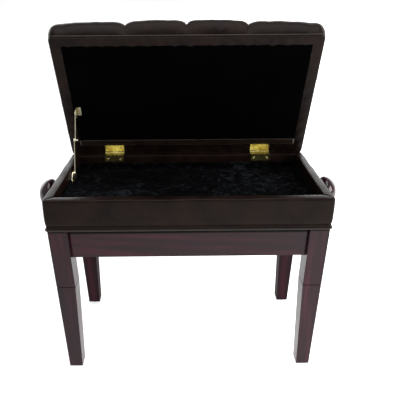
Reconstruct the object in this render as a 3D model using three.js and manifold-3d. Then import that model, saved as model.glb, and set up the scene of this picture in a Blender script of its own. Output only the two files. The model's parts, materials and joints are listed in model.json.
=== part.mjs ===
// Piano bench with a lift-up padded lid, a lined storage tray and a knob-driven scissor lift.
// Millimetres, +Z up. The front faces -Y, the lid is hinged at the rear and is stored open.
import * as THREE from "three";
import { mergeVertices } from "three/addons/utils/BufferGeometryUtils.js";
import Module from "manifold-3d";

// ---------------------------------------------------------------- driving sizes
const BODY_WIDTH = 560; // seat box, left to right
const BODY_DEPTH = 282; // seat box, front to rear
const RIM_HEIGHT = 424; // top of the seat box above the floor, at the lowest setting
const BOX_HEIGHT = 66;
const WALL = 20; // seat box wall
const RIM_ROUND = 5; // outer edge of the rim
const RIM_INNER_ROUND = 3;
const FIT = 0.3; // gap between pieces that touch
const SEAT_GAP = 3; // shadow gap between the seat box and the base

const LEG_WIDTH = 39;
const FOOT_WIDTH = 29;
const LEG_LEAN = 3; // how far the outer side face leans in from top to foot
const LEG_INSET_SIDE = 1; // leg top behind the side of the seat box
const LEG_INSET_FRONT = 6;
const CREASE_BELOW_APRON = 68; // lower edge of the aprons down to where the taper starts
const CREASE_GROOVE = 1;
const GLIDE_HEIGHT = 3;
const GLIDE_RADIUS = 11;

const APRON_HEIGHT = 65;
const APRON_THICKNESS = 18;
const APRON_SETBACK = 10; // behind the faces of the legs

const LIFT_ROOM = 28; // lower edge of the seat box up to the underside of the tray floor
const TRAY_FLOOR = 4;
const LINING = 1.2;
const LINING_TOP = 18; // rim down to the top edge of the lining
const WELT_PROUD = 2.5;
const WELT_HEIGHT = 4.6;

const LIFT_TRAVEL = 75;
const ARM_LENGTH = 300; // between the two end pivots of a scissor arm
const ARM_EYE = 9; // radius of the eye at each end of a scissor arm
const ARM_WAIST = 14; // width of a scissor arm between its eyes
const ARM_THICKNESS = 3;
const ARM_RISE = 60; // height between its two end pivots at the lowest setting
const PIVOT_X = -ARM_LENGTH / 2;
const PIVOT_BELOW_SCREW = 18; // upper pivots below the axis of the lift screw
const SHAFT_RADIUS = 4;
const SHAFT_CLEARANCE = 0.3;
const SLIDE_CLEARANCE = 1.5; // round a shaft that runs in a slot, and in the crossing of the arms
const NUT_CLEARANCE = 3.3; // along the nut's slot
const RAIL_INSET = 72; // outer face of a lower rail behind the front of the box
const RAIL_THICKNESS = 2.5;
const RAIL_HEIGHT = 22;
const RAIL_FLANGE = 20;
const LOWER_RAIL_DROP = 9.5; // pivots down to the lower edge of a lower rail
const UPPER_RAIL_DROP = 10;
const UPPER_RAIL_LENGTH = BODY_WIDTH - 80;
const SHAFT_PROUD = 2; // ends of a shaft beyond the lower rails
const PIN_ROOT = 1; // depth at which a joined pin starts inside its plate
const LAYER_GAP = 0.6; // between rails and arms

const SCREW_ABOVE_BOX = 20; // lower edge of the seat box up to the axis of the lift screw
const SCREW_RADIUS = 5;
const SCREW_CLEARANCE = 0.4;
const BUSHING_RADIUS = 9;
const BUSHING_FLANGE = 12;
const BUSHING_FLANGE_THICKNESS = 2;
const NUT_SIZE = { x: 30, y: 24, above: 7.5, below: 11 };
const KNOB_RADIUS = 34;
const KNOB_LENGTH = 43;
const KNOB_NECK = 12;
const KNOB_BORE_DEPTH = 18;

const LID_OPEN = THREE.MathUtils.degToRad(72);
const LID_DEPTH = BODY_DEPTH + 5.5;
const LID_OVERHANG = 8; // rear edge of the lid behind the hinge axis
const LID_BOARD = 9;
const LID_CORNER = 8;
const LID_BORDER = 23; // leather border at the sides of the dust panel
const LID_BORDER_FRONT = 15.5;
const LID_BORDER_REAR = 29.5;
const DUST_PANEL = 1;
const HINGE_AXIS_IN = 1.5; // hinge axis in front of the rear face of the box
const HINGE_AXIS_UP = 1.7; // hinge axis above the rim
const LID_ABOVE_AXIS = 2.6; // underside of the closed lid above the hinge axis
const HINGE_X = 176;
const HINGE_WIDTH = 46;
const LEAF_THICKNESS = 1.1;
const LEAF_LENGTH = 20; // along the lid
const LEAF_DROP = 15; // down the inner face of the rear wall
const KNUCKLE_RADIUS = 2.2;
const PIN_RADIUS = 1;
const CUSHION_HEIGHT = 63;
const CUSHION_BULGE = 9;
const CUSHION_CORNER = 16;
const BUTTON_RADIUS = 8.5;
const BUTTON_HEIGHT = 5;
const BUTTON_SINK = 22; // top of the cushion down to the seat of a button
const BUTTON_COLUMN = BODY_WIDTH / 4.375; // spacing of the tufts
const BUTTON_ROW = LID_DEPTH / 4;
const DIMPLE_FLARE = 2.2; // mouth of a tuft, as a share of the button's radius
const DIMPLE_CLEARANCE = 1.5;

// lid stay, drawn in the side view of the opened lid
const STAY_PIVOT_IN = 102; // wall pivot in front of the rear face of the box
const STAY_PIVOT_DOWN = 14; // wall pivot below the rim
const STAY_LID_ALONG = 114.9; // lid pivot from the hinge axis, along the lid
const STAY_LID_BELOW = 6.3; // lid pivot from the hinge axis, square to the lid
const STAY_ELBOW_SHARE = 0.546; // place of the elbow between the two pivots
const STAY_ELBOW_OFF = 3; // elbow off the straight line between the pivots
const STAY_FROM_WALL = 1.8; // wall plate off the inner face of the wall
const STAY_PLATE = 1.5;
const STAY_BOSS = 1.7;
const STAY_ARM_THICKNESS = 1.8;
const STAY_ARM_WIDTH = 5;
const STAY_EYE = 5; // radius of the eye at each end of an arm
const STAY_PIN = 1.9;
const STAY_PIN_CLEARANCE = 0.4;
const STAY_LAYER_GAP = 0.4;
const STAY_BRACKET = 20; // bracket on the lid, along the stay
const STAY_BRACKET_FOOT = 11; // and across it
const STAY_STUD = 5; // elbow rivet beyond the upper arm
const WALL_PLATE = { half: 24, foot: 9, headHalf: 7, headUp: 6, aboveLining: 2 };

// ---------------------------------------------------------------- derived places
const HALF_WIDTH = BODY_WIDTH / 2;
const MID_DEPTH = BODY_DEPTH / 2;
const BOX_BOTTOM = RIM_HEIGHT - BOX_HEIGHT;
const BASE_TOP = BOX_BOTTOM - SEAT_GAP;
const FLOOR_BOTTOM = BOX_BOTTOM + LIFT_ROOM;
const FLOOR_TOP = FLOOR_BOTTOM + TRAY_FLOOR;
const APRON_BOTTOM = BASE_TOP - APRON_HEIGHT;
const CREASE_HEIGHT = APRON_BOTTOM - CREASE_BELOW_APRON;
const LEG_BOTTOM = GLIDE_HEIGHT + FIT;
const LEG_OUTER_TOP = HALF_WIDTH - LEG_INSET_SIDE;
const SCREW_HEIGHT = BOX_BOTTOM + SCREW_ABOVE_BOX;
const UPPER_PIVOT = SCREW_HEIGHT - PIVOT_BELOW_SCREW;
const LOWER_PIVOT = UPPER_PIVOT - ARM_RISE;
const SHAFT_END = RAIL_INSET - SHAFT_PROUD;
const ARM_ANGLE = Math.asin(ARM_RISE / ARM_LENGTH);
const ARM_ANGLE_RAISED = Math.asin((ARM_RISE + LIFT_TRAVEL) / ARM_LENGTH);
const SLIDE_X = PIVOT_X + ARM_LENGTH * Math.cos(ARM_ANGLE);
const SLIDE_X_RAISED = PIVOT_X + ARM_LENGTH * Math.cos(ARM_ANGLE_RAISED);
const HINGE_AXIS = new THREE.Vector3(0, BODY_DEPTH - HINGE_AXIS_IN, RIM_HEIGHT + HINGE_AXIS_UP);
const APRON_HALF_SIDE = LEG_OUTER_TOP - APRON_SETBACK;
const STAY_WALL_PIVOT = new THREE.Vector2(BODY_DEPTH - STAY_PIVOT_IN, RIM_HEIGHT - STAY_PIVOT_DOWN);
const STAY_LID_CLOSED = new THREE.Vector2(-STAY_LID_ALONG, -STAY_LID_BELOW);
const STAY_LID_PIVOT = STAY_LID_CLOSED.clone()
  .rotateAround(new THREE.Vector2(0, 0), -LID_OPEN)
  .add(new THREE.Vector2(HINGE_AXIS.y, HINGE_AXIS.z));
const STAY_SPAN = STAY_LID_PIVOT.clone().sub(STAY_WALL_PIVOT);
const STAY_ELBOW = STAY_WALL_PIVOT.clone()
  .addScaledVector(STAY_SPAN, STAY_ELBOW_SHARE)
  .addScaledVector(new THREE.Vector2(-STAY_SPAN.y, STAY_SPAN.x).normalize(), STAY_ELBOW_OFF);

// ---------------------------------------------------------------- materials
function material(color, roughness, metalness = 0) {
  return new THREE.MeshStandardMaterial({ color, roughness, metalness });
}
const mahogany = () => material(0x3a1512, 0.18);
const leather = () => material(0x1d1513, 0.42);
const velvet = () => material(0x0b0b0d, 0.9);
const steel = () => material(0x8b8d90, 0.4, 0.9);
const brass = () => material(0xc9a24a, 0.28, 1);
const plywood = () => material(0xb08c5c, 0.7);
const nylon = () => material(0x151515, 0.5);

// ---------------------------------------------------------------- geometry helpers
const wasm = await Module();
wasm.setup();

function toSolid(geometry) {
  const bare = geometry.clone();
  bare.deleteAttribute("normal");
  bare.deleteAttribute("uv");
  const merged = mergeVertices(bare, 1e-4);
  return new wasm.Manifold(
    new wasm.Mesh({
      numProp: 3,
      vertProperties: new Float32Array(merged.attributes.position.array),
      triVerts: new Uint32Array(merged.index.array),
    }),
  );
}

function toGeometry(solid) {
  const mesh = solid.getMesh();
  const geometry = new THREE.BufferGeometry();
  geometry.setAttribute("position", new THREE.BufferAttribute(new Float32Array(mesh.vertProperties), 3));
  geometry.setIndex(new THREE.BufferAttribute(new Uint32Array(mesh.triVerts), 1));
  geometry.computeVertexNormals();
  return geometry;
}

function join(...pieces) {
  return toGeometry(pieces.map(toSolid).reduce((sum, piece) => sum.add(piece)));
}

function cut(body, ...tools) {
  return toGeometry(tools.map(toSolid).reduce((rest, tool) => rest.subtract(tool), toSolid(body)));
}

function block(x0, x1, y0, y1, z0, z1) {
  const geometry = new THREE.BoxGeometry(x1 - x0, y1 - y0, z1 - z0);
  return geometry.translate((x0 + x1) / 2, (y0 + y1) / 2, (z0 + z1) / 2);
}

// A shape drawn in (x, z), given its thickness from y0 to y1.
function plateXZ(shape, y0, y1) {
  const geometry = new THREE.ExtrudeGeometry(shape, { depth: y1 - y0, bevelEnabled: false, curveSegments: 8 });
  const basis = new THREE.Matrix4().makeBasis(
    new THREE.Vector3(1, 0, 0),
    new THREE.Vector3(0, 0, 1),
    new THREE.Vector3(0, -1, 0),
  );
  return geometry.applyMatrix4(basis).translate(0, y1, 0);
}

// A shape drawn in (y, z), given its length from x0 to x1.
function barYZ(shape, x0, x1) {
  const geometry = new THREE.ExtrudeGeometry(shape, { depth: x1 - x0, bevelEnabled: false, curveSegments: 8 });
  const basis = new THREE.Matrix4().makeBasis(
    new THREE.Vector3(0, 1, 0),
    new THREE.Vector3(0, 0, 1),
    new THREE.Vector3(1, 0, 0),
  );
  return geometry.applyMatrix4(basis).translate(x0, 0, 0);
}

function rodX(radius, x0, x1, y, z, sides = 20) {
  const geometry = new THREE.CylinderGeometry(radius, radius, x1 - x0, sides);
  return geometry.rotateZ(Math.PI / 2).translate((x0 + x1) / 2, y, z);
}

function rodY(radius, y0, y1, x, z, sides = 20) {
  const geometry = new THREE.CylinderGeometry(radius, radius, y1 - y0, sides);
  return geometry.translate(x, (y0 + y1) / 2, z);
}

function rodZ(radius, z0, z1, x, y, sides = 20) {
  const geometry = new THREE.CylinderGeometry(radius, radius, z1 - z0, sides);
  return geometry.rotateX(Math.PI / 2).translate(x, y, (z0 + z1) / 2);
}

function rectangleShape(x0, x1, y0, y1) {
  return new THREE.Shape([
    new THREE.Vector2(x0, y0),
    new THREE.Vector2(x1, y0),
    new THREE.Vector2(x1, y1),
    new THREE.Vector2(x0, y1),
  ]);
}

// Corner points of a rounded rectangle, anticlockwise.
function roundedOutline(x0, x1, y0, y1, radius, steps = 4) {
  const corners = [
    [x1 - radius, y0 + radius, -Math.PI / 2],
    [x1 - radius, y1 - radius, 0],
    [x0 + radius, y1 - radius, Math.PI / 2],
    [x0 + radius, y0 + radius, Math.PI],
  ];
  return corners.flatMap(([cx, cy, start]) =>
    Array.from({ length: steps + 1 }, (_, i) => {
      const angle = start + (i / steps) * (Math.PI / 2);
      return new THREE.Vector2(cx + radius * Math.cos(angle), cy + radius * Math.sin(angle));
    }),
  );
}

function stadium(length, width, eyeRadius) {
  const half = width / 2;
  const reach = Math.sqrt(eyeRadius ** 2 - half ** 2);
  const turn = Math.asin(half / eyeRadius);
  const shape = new THREE.Shape();
  shape.absarc(0, 0, eyeRadius, turn, 2 * Math.PI - turn, false);
  shape.lineTo(length - reach, -half);
  shape.absarc(length, 0, eyeRadius, Math.PI + turn, 3 * Math.PI - turn, false);
  shape.lineTo(reach, half);
  return shape;
}

function addHole(shape, x, y, radius) {
  const hole = new THREE.Path();
  hole.absarc(x, y, radius, 0, 2 * Math.PI, true);
  shape.holes.push(hole);
}

function stadiumAt(x0, x1, y, radius) {
  const shape = new THREE.Shape();
  shape.absarc(x1, y, radius, -Math.PI / 2, Math.PI / 2, false);
  shape.absarc(x0, y, radius, Math.PI / 2, (3 * Math.PI) / 2, false);
  return shape;
}

// A closed solid through rings of points that all have the same count, listed upwards and anticlockwise.
function loft(rings) {
  const count = rings[0].length;
  const points = rings.flat();
  const faces = [];
  rings.slice(1).forEach((_, level) => {
    for (let i = 0; i < count; i++) {
      const next = (i + 1) % count;
      const a = level * count + i;
      const b = level * count + next;
      faces.push(a, b, b + count, a, b + count, a + count);
    }
  });
  const middle = (ring) => ring.reduce((sum, p) => sum.add(p), new THREE.Vector3()).divideScalar(count);
  const bottom = points.push(middle(rings[0])) - 1;
  const top = points.push(middle(rings.at(-1))) - 1;
  const last = (rings.length - 1) * count;
  for (let i = 0; i < count; i++) {
    const next = (i + 1) % count;
    faces.push(bottom, next, i);
    faces.push(top, last + i, last + next);
  }
  const geometry = new THREE.BufferGeometry().setFromPoints(points);
  geometry.setIndex(faces);
  geometry.computeVertexNormals();
  return geometry;
}

function outlineAt(outline, z) {
  return outline.map((p) => new THREE.Vector3(p.x, p.y, z));
}

function frameRing(x0, x1, y0, y1, proud, radius, z0, z1) {
  const shape = new THREE.Shape(roundedOutline(x0 - proud, x1 + proud, y0 - proud, y1 + proud, radius + proud));
  shape.holes.push(new THREE.Path(roundedOutline(x0 - FIT, x1 + FIT, y0 - FIT, y1 + FIT, radius + FIT).reverse()));
  return new THREE.ExtrudeGeometry(shape, { depth: z1 - z0, bevelEnabled: false }).translate(0, 0, z0);
}

function add(group, name, geometry, finish) {
  const mesh = new THREE.Mesh(geometry, finish);
  mesh.name = name;
  group.add(mesh);
  return mesh;
}

const SIDES = { left: -1, right: 1 };
const ENDS = ["front", "rear"];

// Y range of a layer measured back from the front face, mirrored for the rear set.
function layer(end, from, thickness) {
  return end === "front" ? [from, from + thickness] : [BODY_DEPTH - from - thickness, BODY_DEPTH - from];
}

// ---------------------------------------------------------------- base
function outerFaceAt(z) {
  return LEG_OUTER_TOP - (LEG_LEAN * (BASE_TOP - z)) / BASE_TOP;
}

function legRing(side, end, z, width, groove = 0) {
  const outerX = outerFaceAt(z) - groove;
  const innerX = outerFaceAt(z) - width + groove;
  const near = LEG_INSET_FRONT + groove;
  const far = LEG_INSET_FRONT + width - groove;
  const xs = side === "left" ? [-outerX, -innerX] : [innerX, outerX];
  const ys = end === "front" ? [near, far] : [BODY_DEPTH - far, BODY_DEPTH - near];
  return outlineAt(
    [
      new THREE.Vector2(xs[0], ys[0]),
      new THREE.Vector2(xs[1], ys[0]),
      new THREE.Vector2(xs[1], ys[1]),
      new THREE.Vector2(xs[0], ys[1]),
    ],
    z,
  );
}

function legGeometry(side, end) {
  return loft([
    legRing(side, end, LEG_BOTTOM, FOOT_WIDTH),
    legRing(side, end, CREASE_HEIGHT - CREASE_GROOVE, LEG_WIDTH),
    legRing(side, end, CREASE_HEIGHT, LEG_WIDTH, CREASE_GROOVE),
    legRing(side, end, CREASE_HEIGHT + CREASE_GROOVE, LEG_WIDTH),
    legRing(side, end, BASE_TOP, LEG_WIDTH),
  ]);
}

function buildBase() {
  const group = new THREE.Group();
  const footX = outerFaceAt(0) - FOOT_WIDTH / 2;
  const footY = LEG_INSET_FRONT + FOOT_WIDTH / 2;
  for (const [side, sign] of Object.entries(SIDES)) {
    for (const end of ENDS) {
      const y = end === "front" ? footY : BODY_DEPTH - footY;
      add(group, `leg_${end}_${side}`, legGeometry(side, end), mahogany());
      add(group, `glide_${end}_${side}`, rodZ(GLIDE_RADIUS, 0, GLIDE_HEIGHT, sign * footX, y), nylon());
    }
  }
  const apronEnd = outerFaceAt(APRON_BOTTOM) - LEG_WIDTH - FIT;
  const apronFrom = LEG_INSET_FRONT + APRON_SETBACK;
  for (const end of ENDS) {
    const [y0, y1] = layer(end, apronFrom, APRON_THICKNESS);
    add(group, `apron_${end}`, block(-apronEnd, apronEnd, y0, y1, APRON_BOTTOM, BASE_TOP), mahogany());
  }
  const sideFrom = LEG_INSET_FRONT + LEG_WIDTH + FIT;
  for (const [side, sign] of Object.entries(SIDES)) {
    const xs = [sign * (APRON_HALF_SIDE - APRON_THICKNESS), sign * APRON_HALF_SIDE].sort((a, b) => a - b);
    const apron = block(xs[0], xs[1], sideFrom, BODY_DEPTH - sideFrom, APRON_BOTTOM, BASE_TOP);
    add(group, `apron_${side}`, apron, mahogany());
  }
  for (const end of ENDS) {
    add(group, `lower_rail_${end}`, lowerRail(end), steel());
  }
  const shaft = rodY(SHAFT_RADIUS, SHAFT_END, BODY_DEPTH - SHAFT_END, PIVOT_X, LOWER_PIVOT);
  add(group, "lower_pivot_shaft", shaft, steel());
  return group;
}

// The pivot hole and the slot of a rail, as tools that pass through a plate between y0 and y1.
function railOpenings(height, y0, y1) {
  const slot = stadiumAt(SLIDE_X_RAISED, SLIDE_X, height, SHAFT_RADIUS + SLIDE_CLEARANCE);
  return [
    rodY(SHAFT_RADIUS + SHAFT_CLEARANCE, y0 - 1, y1 + 1, PIVOT_X, height),
    plateXZ(slot, y0 - 1, y1 + 1),
  ];
}

// Runs between the side aprons, with a flange turned to the outside at each end.
function lowerRail(end) {
  const half = APRON_HALF_SIDE - APRON_THICKNESS - FIT;
  const bottom = LOWER_PIVOT - LOWER_RAIL_DROP;
  const inside = half - RAIL_THICKNESS;
  const [y0, y1] = layer(end, RAIL_INSET, RAIL_THICKNESS);
  const out = end === "front" ? y0 : y1;
  const back = end === "front" ? y1 : y0;
  const tip = end === "front" ? y1 - RAIL_FLANGE : y0 + RAIL_FLANGE;
  const plan = new THREE.Shape([
    new THREE.Vector2(-half, tip),
    new THREE.Vector2(-inside, tip),
    new THREE.Vector2(-inside, out),
    new THREE.Vector2(inside, out),
    new THREE.Vector2(inside, tip),
    new THREE.Vector2(half, tip),
    new THREE.Vector2(half, back),
    new THREE.Vector2(-half, back),
  ]);
  const rail = new THREE.ExtrudeGeometry(plan, { depth: RAIL_HEIGHT, bevelEnabled: false });
  return cut(rail.translate(0, 0, bottom), ...railOpenings(LOWER_PIVOT, y0, y1));
}

// ---------------------------------------------------------------- scissor lift
const P_LAYER = RAIL_INSET + RAIL_THICKNESS + LAYER_GAP;
const Q_LAYER = P_LAYER + ARM_THICKNESS + LAYER_GAP;
const UPPER_RAIL_LAYER = Q_LAYER + ARM_THICKNESS + LAYER_GAP;

function armShape(crossingRadius) {
  const shape = stadium(ARM_LENGTH, ARM_WAIST, ARM_EYE);
  addHole(shape, 0, 0, SHAFT_RADIUS + SHAFT_CLEARANCE);
  addHole(shape, ARM_LENGTH, 0, SHAFT_RADIUS + SHAFT_CLEARANCE);
  if (crossingRadius) {
    addHole(shape, ARM_LENGTH / 2, 0, crossingRadius);
  }
  return shape;
}

// Both arms of one slope with the shaft that ties their sliding ends; the first pivot is at the group's origin.
function buildArms(letter, pivotHeight, angle) {
  const group = new THREE.Group();
  group.position.set(PIVOT_X, 0, pivotHeight);
  group.rotation.y = angle;
  for (const end of ENDS) {
    let arm;
    if (letter === "p") {
      const [y0, y1] = layer(end, P_LAYER, ARM_THICKNESS);
      const [s0, s1] = layer(end, P_LAYER + PIN_ROOT, Q_LAYER + ARM_THICKNESS - P_LAYER - PIN_ROOT);
      arm = join(plateXZ(armShape(0), y0, y1), rodY(SHAFT_RADIUS, s0, s1, ARM_LENGTH / 2, 0));
    } else {
      const [y0, y1] = layer(end, Q_LAYER, ARM_THICKNESS);
      arm = plateXZ(armShape(SHAFT_RADIUS + SLIDE_CLEARANCE), y0, y1);
    }
    add(group, `scissor_${letter}_arm_${end}`, arm, steel());
  }
  const shaft = rodY(SHAFT_RADIUS, SHAFT_END, BODY_DEPTH - SHAFT_END, ARM_LENGTH, 0);
  add(group, `scissor_${letter}_shaft`, shaft, steel());
  return group;
}

// Hangs from the tray floor by a flange turned to the middle.
function upperRail(end) {
  const half = UPPER_RAIL_LENGTH / 2;
  const top = FLOOR_BOTTOM - FIT;
  const bottom = UPPER_PIVOT - UPPER_RAIL_DROP;
  const [y0, y1] = layer(end, UPPER_RAIL_LAYER, RAIL_THICKNESS);
  const web = end === "front" ? y0 : y1;
  const inner = end === "front" ? y1 : y0;
  const tip = end === "front" ? y0 + RAIL_FLANGE : y1 - RAIL_FLANGE;
  const section = new THREE.Shape([
    new THREE.Vector2(web, bottom),
    new THREE.Vector2(inner, bottom),
    new THREE.Vector2(inner, top - RAIL_THICKNESS),
    new THREE.Vector2(tip, top - RAIL_THICKNESS),
    new THREE.Vector2(tip, top),
    new THREE.Vector2(web, top),
  ]);
  return cut(barYZ(section, -half, half), ...railOpenings(UPPER_PIVOT, y0, y1));
}

function buildNut() {
  const half = NUT_SIZE.x / 2;
  const y0 = MID_DEPTH - NUT_SIZE.y / 2;
  const y1 = MID_DEPTH + NUT_SIZE.y / 2;
  const slotRadius = SHAFT_RADIUS + SLIDE_CLEARANCE;
  const shape = rectangleShape(
    SLIDE_X - half,
    SLIDE_X + half,
    UPPER_PIVOT - NUT_SIZE.below,
    SCREW_HEIGHT + NUT_SIZE.above,
  );
  const play = NUT_CLEARANCE - SLIDE_CLEARANCE;
  const slot = plateXZ(stadiumAt(SLIDE_X - play, SLIDE_X + play, UPPER_PIVOT, slotRadius), y0 - 1, y1 + 1);
  const bore = rodX(
    SCREW_RADIUS + SCREW_CLEARANCE,
    SLIDE_X - half - 1,
    SLIDE_X + half + 1,
    MID_DEPTH,
    SCREW_HEIGHT,
  );
  return cut(plateXZ(shape, y0, y1), bore, slot);
}

// ---------------------------------------------------------------- lift screw and knobs
function knobProfile() {
  const r = KNOB_RADIUS;
  const l = KNOB_LENGTH;
  const face = new THREE.Path();
  face.moveTo(0, 0);
  face.lineTo(KNOB_NECK, 0);
  face.lineTo(KNOB_NECK, 0.1 * l);
  face.bezierCurveTo(KNOB_NECK + 2, 0.25 * l, 0.92 * r, 0.16 * l, r, 0.38 * l);
  face.bezierCurveTo(r + 0.5, 0.62 * l, 0.72 * r, l, 0, l);
  return face.getPoints(9);
}

function buildScrew() {
  const group = new THREE.Group();
  group.position.set(0, MID_DEPTH, SCREW_HEIGHT);
  const knobStart = HALF_WIDTH + FIT + BUSHING_FLANGE_THICKNESS + FIT;
  const rodEnd = knobStart + KNOB_BORE_DEPTH - 1;
  add(group, "lift_screw", rodX(SCREW_RADIUS, -rodEnd, rodEnd, 0, 0), steel());
  for (const [side, sign] of Object.entries(SIDES)) {
    const knob = cut(
      new THREE.LatheGeometry(knobProfile(), 32).rotateZ(-sign * (Math.PI / 2)),
      rodX(SCREW_RADIUS + FIT, -KNOB_BORE_DEPTH, KNOB_BORE_DEPTH, 0, 0),
    );
    add(group, `knob_${side}`, knob, mahogany()).position.x = sign * knobStart;
  }
  return group;
}

// ---------------------------------------------------------------- seat box
function wallShape(from, to, outerRound, innerRound) {
  const shape = new THREE.Shape();
  shape.moveTo(from, BOX_BOTTOM);
  shape.lineTo(to, BOX_BOTTOM);
  shape.lineTo(to, RIM_HEIGHT - innerRound);
  shape.absarc(to - innerRound, RIM_HEIGHT - innerRound, innerRound, 0, Math.PI / 2, false);
  shape.lineTo(from + outerRound, RIM_HEIGHT);
  shape.absarc(from + outerRound, RIM_HEIGHT - outerRound, outerRound, Math.PI / 2, Math.PI, false);
  return shape;
}

function lowerLeaf(x) {
  const x0 = x - HINGE_WIDTH / 2;
  const x1 = x + HINGE_WIDTH / 2;
  const innerFace = BODY_DEPTH - WALL - FIT;
  const top = RIM_HEIGHT + FIT + LEAF_THICKNESS;
  const under = RIM_HEIGHT + FIT;
  const section = new THREE.Shape([
    new THREE.Vector2(innerFace - LEAF_THICKNESS, RIM_HEIGHT - LEAF_DROP),
    new THREE.Vector2(innerFace, RIM_HEIGHT - LEAF_DROP),
    new THREE.Vector2(innerFace, under),
    new THREE.Vector2(HINGE_AXIS.y, under),
    new THREE.Vector2(HINGE_AXIS.y, top),
    new THREE.Vector2(innerFace - LEAF_THICKNESS, top),
  ]);
  const third = HINGE_WIDTH / 3;
  const relief = rodX(KNUCKLE_RADIUS + FIT, x0 + third, x1 - third, HINGE_AXIS.y, HINGE_AXIS.z);
  return join(
    cut(barYZ(section, x0, x1), relief),
    rodX(KNUCKLE_RADIUS, x0, x0 + third, HINGE_AXIS.y, HINGE_AXIS.z, 16),
    rodX(KNUCKLE_RADIUS, x1 - third, x1, HINGE_AXIS.y, HINGE_AXIS.z, 16),
    rodX(PIN_RADIUS, x0 + 1, x1 - 1, HINGE_AXIS.y, HINGE_AXIS.z, 12),
  );
}

function trayLining() {
  const half = HALF_WIDTH - WALL - FIT;
  const y0 = WALL + FIT;
  const y1 = BODY_DEPTH - WALL - FIT;
  const bottom = FLOOR_TOP + FIT;
  const outer = block(-half, half, y0, y1, bottom, RIM_HEIGHT - LINING_TOP);
  const inner = block(
    -half + LINING,
    half - LINING,
    y0 + LINING,
    y1 - LINING,
    bottom + LINING,
    RIM_HEIGHT,
  );
  return cut(outer, inner);
}

function stayWallPlate() {
  const x0 = -HALF_WIDTH + WALL + STAY_FROM_WALL;
  const pivot = STAY_WALL_PIVOT;
  const { half, foot, headHalf, headUp, aboveLining } = WALL_PLATE;
  const low = FLOOR_TOP + FIT + LINING + aboveLining;
  const outline = [
    new THREE.Vector2(pivot.x - half, low),
    new THREE.Vector2(pivot.x + half, low),
    new THREE.Vector2(pivot.x + half, low + foot),
    new THREE.Vector2(pivot.x + headHalf, pivot.y + headUp),
    new THREE.Vector2(pivot.x - headHalf, pivot.y + headUp),
    new THREE.Vector2(pivot.x - half, low + foot),
  ];
  const face = x0 + STAY_PLATE;
  return join(
    barYZ(new THREE.Shape(outline), x0, face),
    rodX(STAY_EYE, face - PIN_ROOT, face + STAY_BOSS, pivot.x, pivot.y, 16),
    rodX(STAY_PIN, face, stayLayers().lower[1] + 0.2, pivot.x, pivot.y, 12),
  );
}

// X ranges of the two stay arms and of the lug on the lid, counted from the left wall inwards.
function stayLayers() {
  const start = -HALF_WIDTH + WALL + STAY_FROM_WALL + STAY_PLATE + STAY_BOSS + STAY_LAYER_GAP;
  const lower = [start, start + STAY_ARM_THICKNESS];
  const upper = [lower[1] + STAY_LAYER_GAP, lower[1] + STAY_LAYER_GAP + STAY_ARM_THICKNESS];
  const lug = [upper[1] + STAY_LAYER_GAP, upper[1] + STAY_LAYER_GAP + STAY_PLATE];
  return { lower, upper, lug };
}

function buildSeatBox() {
  const group = new THREE.Group();
  const frontWall = barYZ(wallShape(0, WALL, RIM_ROUND, RIM_INNER_ROUND), -HALF_WIDTH, HALF_WIDTH);
  add(group, "box_wall_front", frontWall, leather());
  const rearWall = frontWall.clone().rotateZ(Math.PI).translate(0, BODY_DEPTH, 0);
  add(group, "box_wall_rear", rearWall, leather());
  const sideLength = BODY_DEPTH - 2 * (WALL + FIT);
  const sideWall = barYZ(wallShape(0, WALL, RIM_ROUND, RIM_INNER_ROUND), -sideLength / 2, sideLength / 2);
  for (const [side, sign] of Object.entries(SIDES)) {
    const wall = sideWall
      .clone()
      .rotateZ(sign * (Math.PI / 2))
      .translate(sign * HALF_WIDTH, MID_DEPTH, 0);
    const reach = [sign * (HALF_WIDTH - WALL - 1), sign * (HALF_WIDTH + 1)].sort((a, b) => a - b);
    const hole = rodX(BUSHING_RADIUS + FIT, reach[0], reach[1], MID_DEPTH, SCREW_HEIGHT, 24);
    add(group, `box_wall_${side}`, cut(wall, hole), leather());
    add(group, `bushing_${side}`, bushing(sign), brass());
  }
  const inner = HALF_WIDTH - WALL - FIT;
  const floor = block(-inner, inner, WALL + FIT, BODY_DEPTH - WALL - FIT, FLOOR_BOTTOM, FLOOR_TOP);
  add(group, "tray_floor", floor, plywood());
  add(group, "tray_lining", trayLining(), velvet());
  const welt = frameRing(-HALF_WIDTH, HALF_WIDTH, 0, BODY_DEPTH, WELT_PROUD, 0, BOX_BOTTOM, BOX_BOTTOM + WELT_HEIGHT);
  add(group, "box_welt", welt, leather());
  for (const end of ENDS) {
    add(group, `upper_rail_${end}`, upperRail(end), steel());
  }
  const shaft = rodY(SHAFT_RADIUS, SHAFT_END, BODY_DEPTH - SHAFT_END, PIVOT_X, UPPER_PIVOT);
  add(group, "upper_pivot_shaft", shaft, steel());
  for (const [side, sign] of Object.entries(SIDES)) {
    add(group, `hinge_leaf_lower_${side}`, lowerLeaf(sign * HINGE_X), brass());
  }
  add(group, "stay_wall_plate", stayWallPlate(), brass());
  return group;
}

function bushing(sign) {
  const sorted = (a, b) => [sign * a, sign * b].sort((p, q) => p - q);
  const body = sorted(HALF_WIDTH - WALL, HALF_WIDTH + FIT + BUSHING_FLANGE_THICKNESS);
  const flange = sorted(HALF_WIDTH + FIT, HALF_WIDTH + FIT + BUSHING_FLANGE_THICKNESS);
  const bore = sorted(HALF_WIDTH - WALL - 1, HALF_WIDTH + BUSHING_FLANGE_THICKNESS + 2);
  return cut(
    join(
      rodX(BUSHING_RADIUS, body[0], body[1], MID_DEPTH, SCREW_HEIGHT, 24),
      rodX(BUSHING_FLANGE, flange[0], flange[1], MID_DEPTH, SCREW_HEIGHT, 24),
    ),
    rodX(SCREW_RADIUS + FIT, bore[0], bore[1], MID_DEPTH, SCREW_HEIGHT),
  );
}

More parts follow.
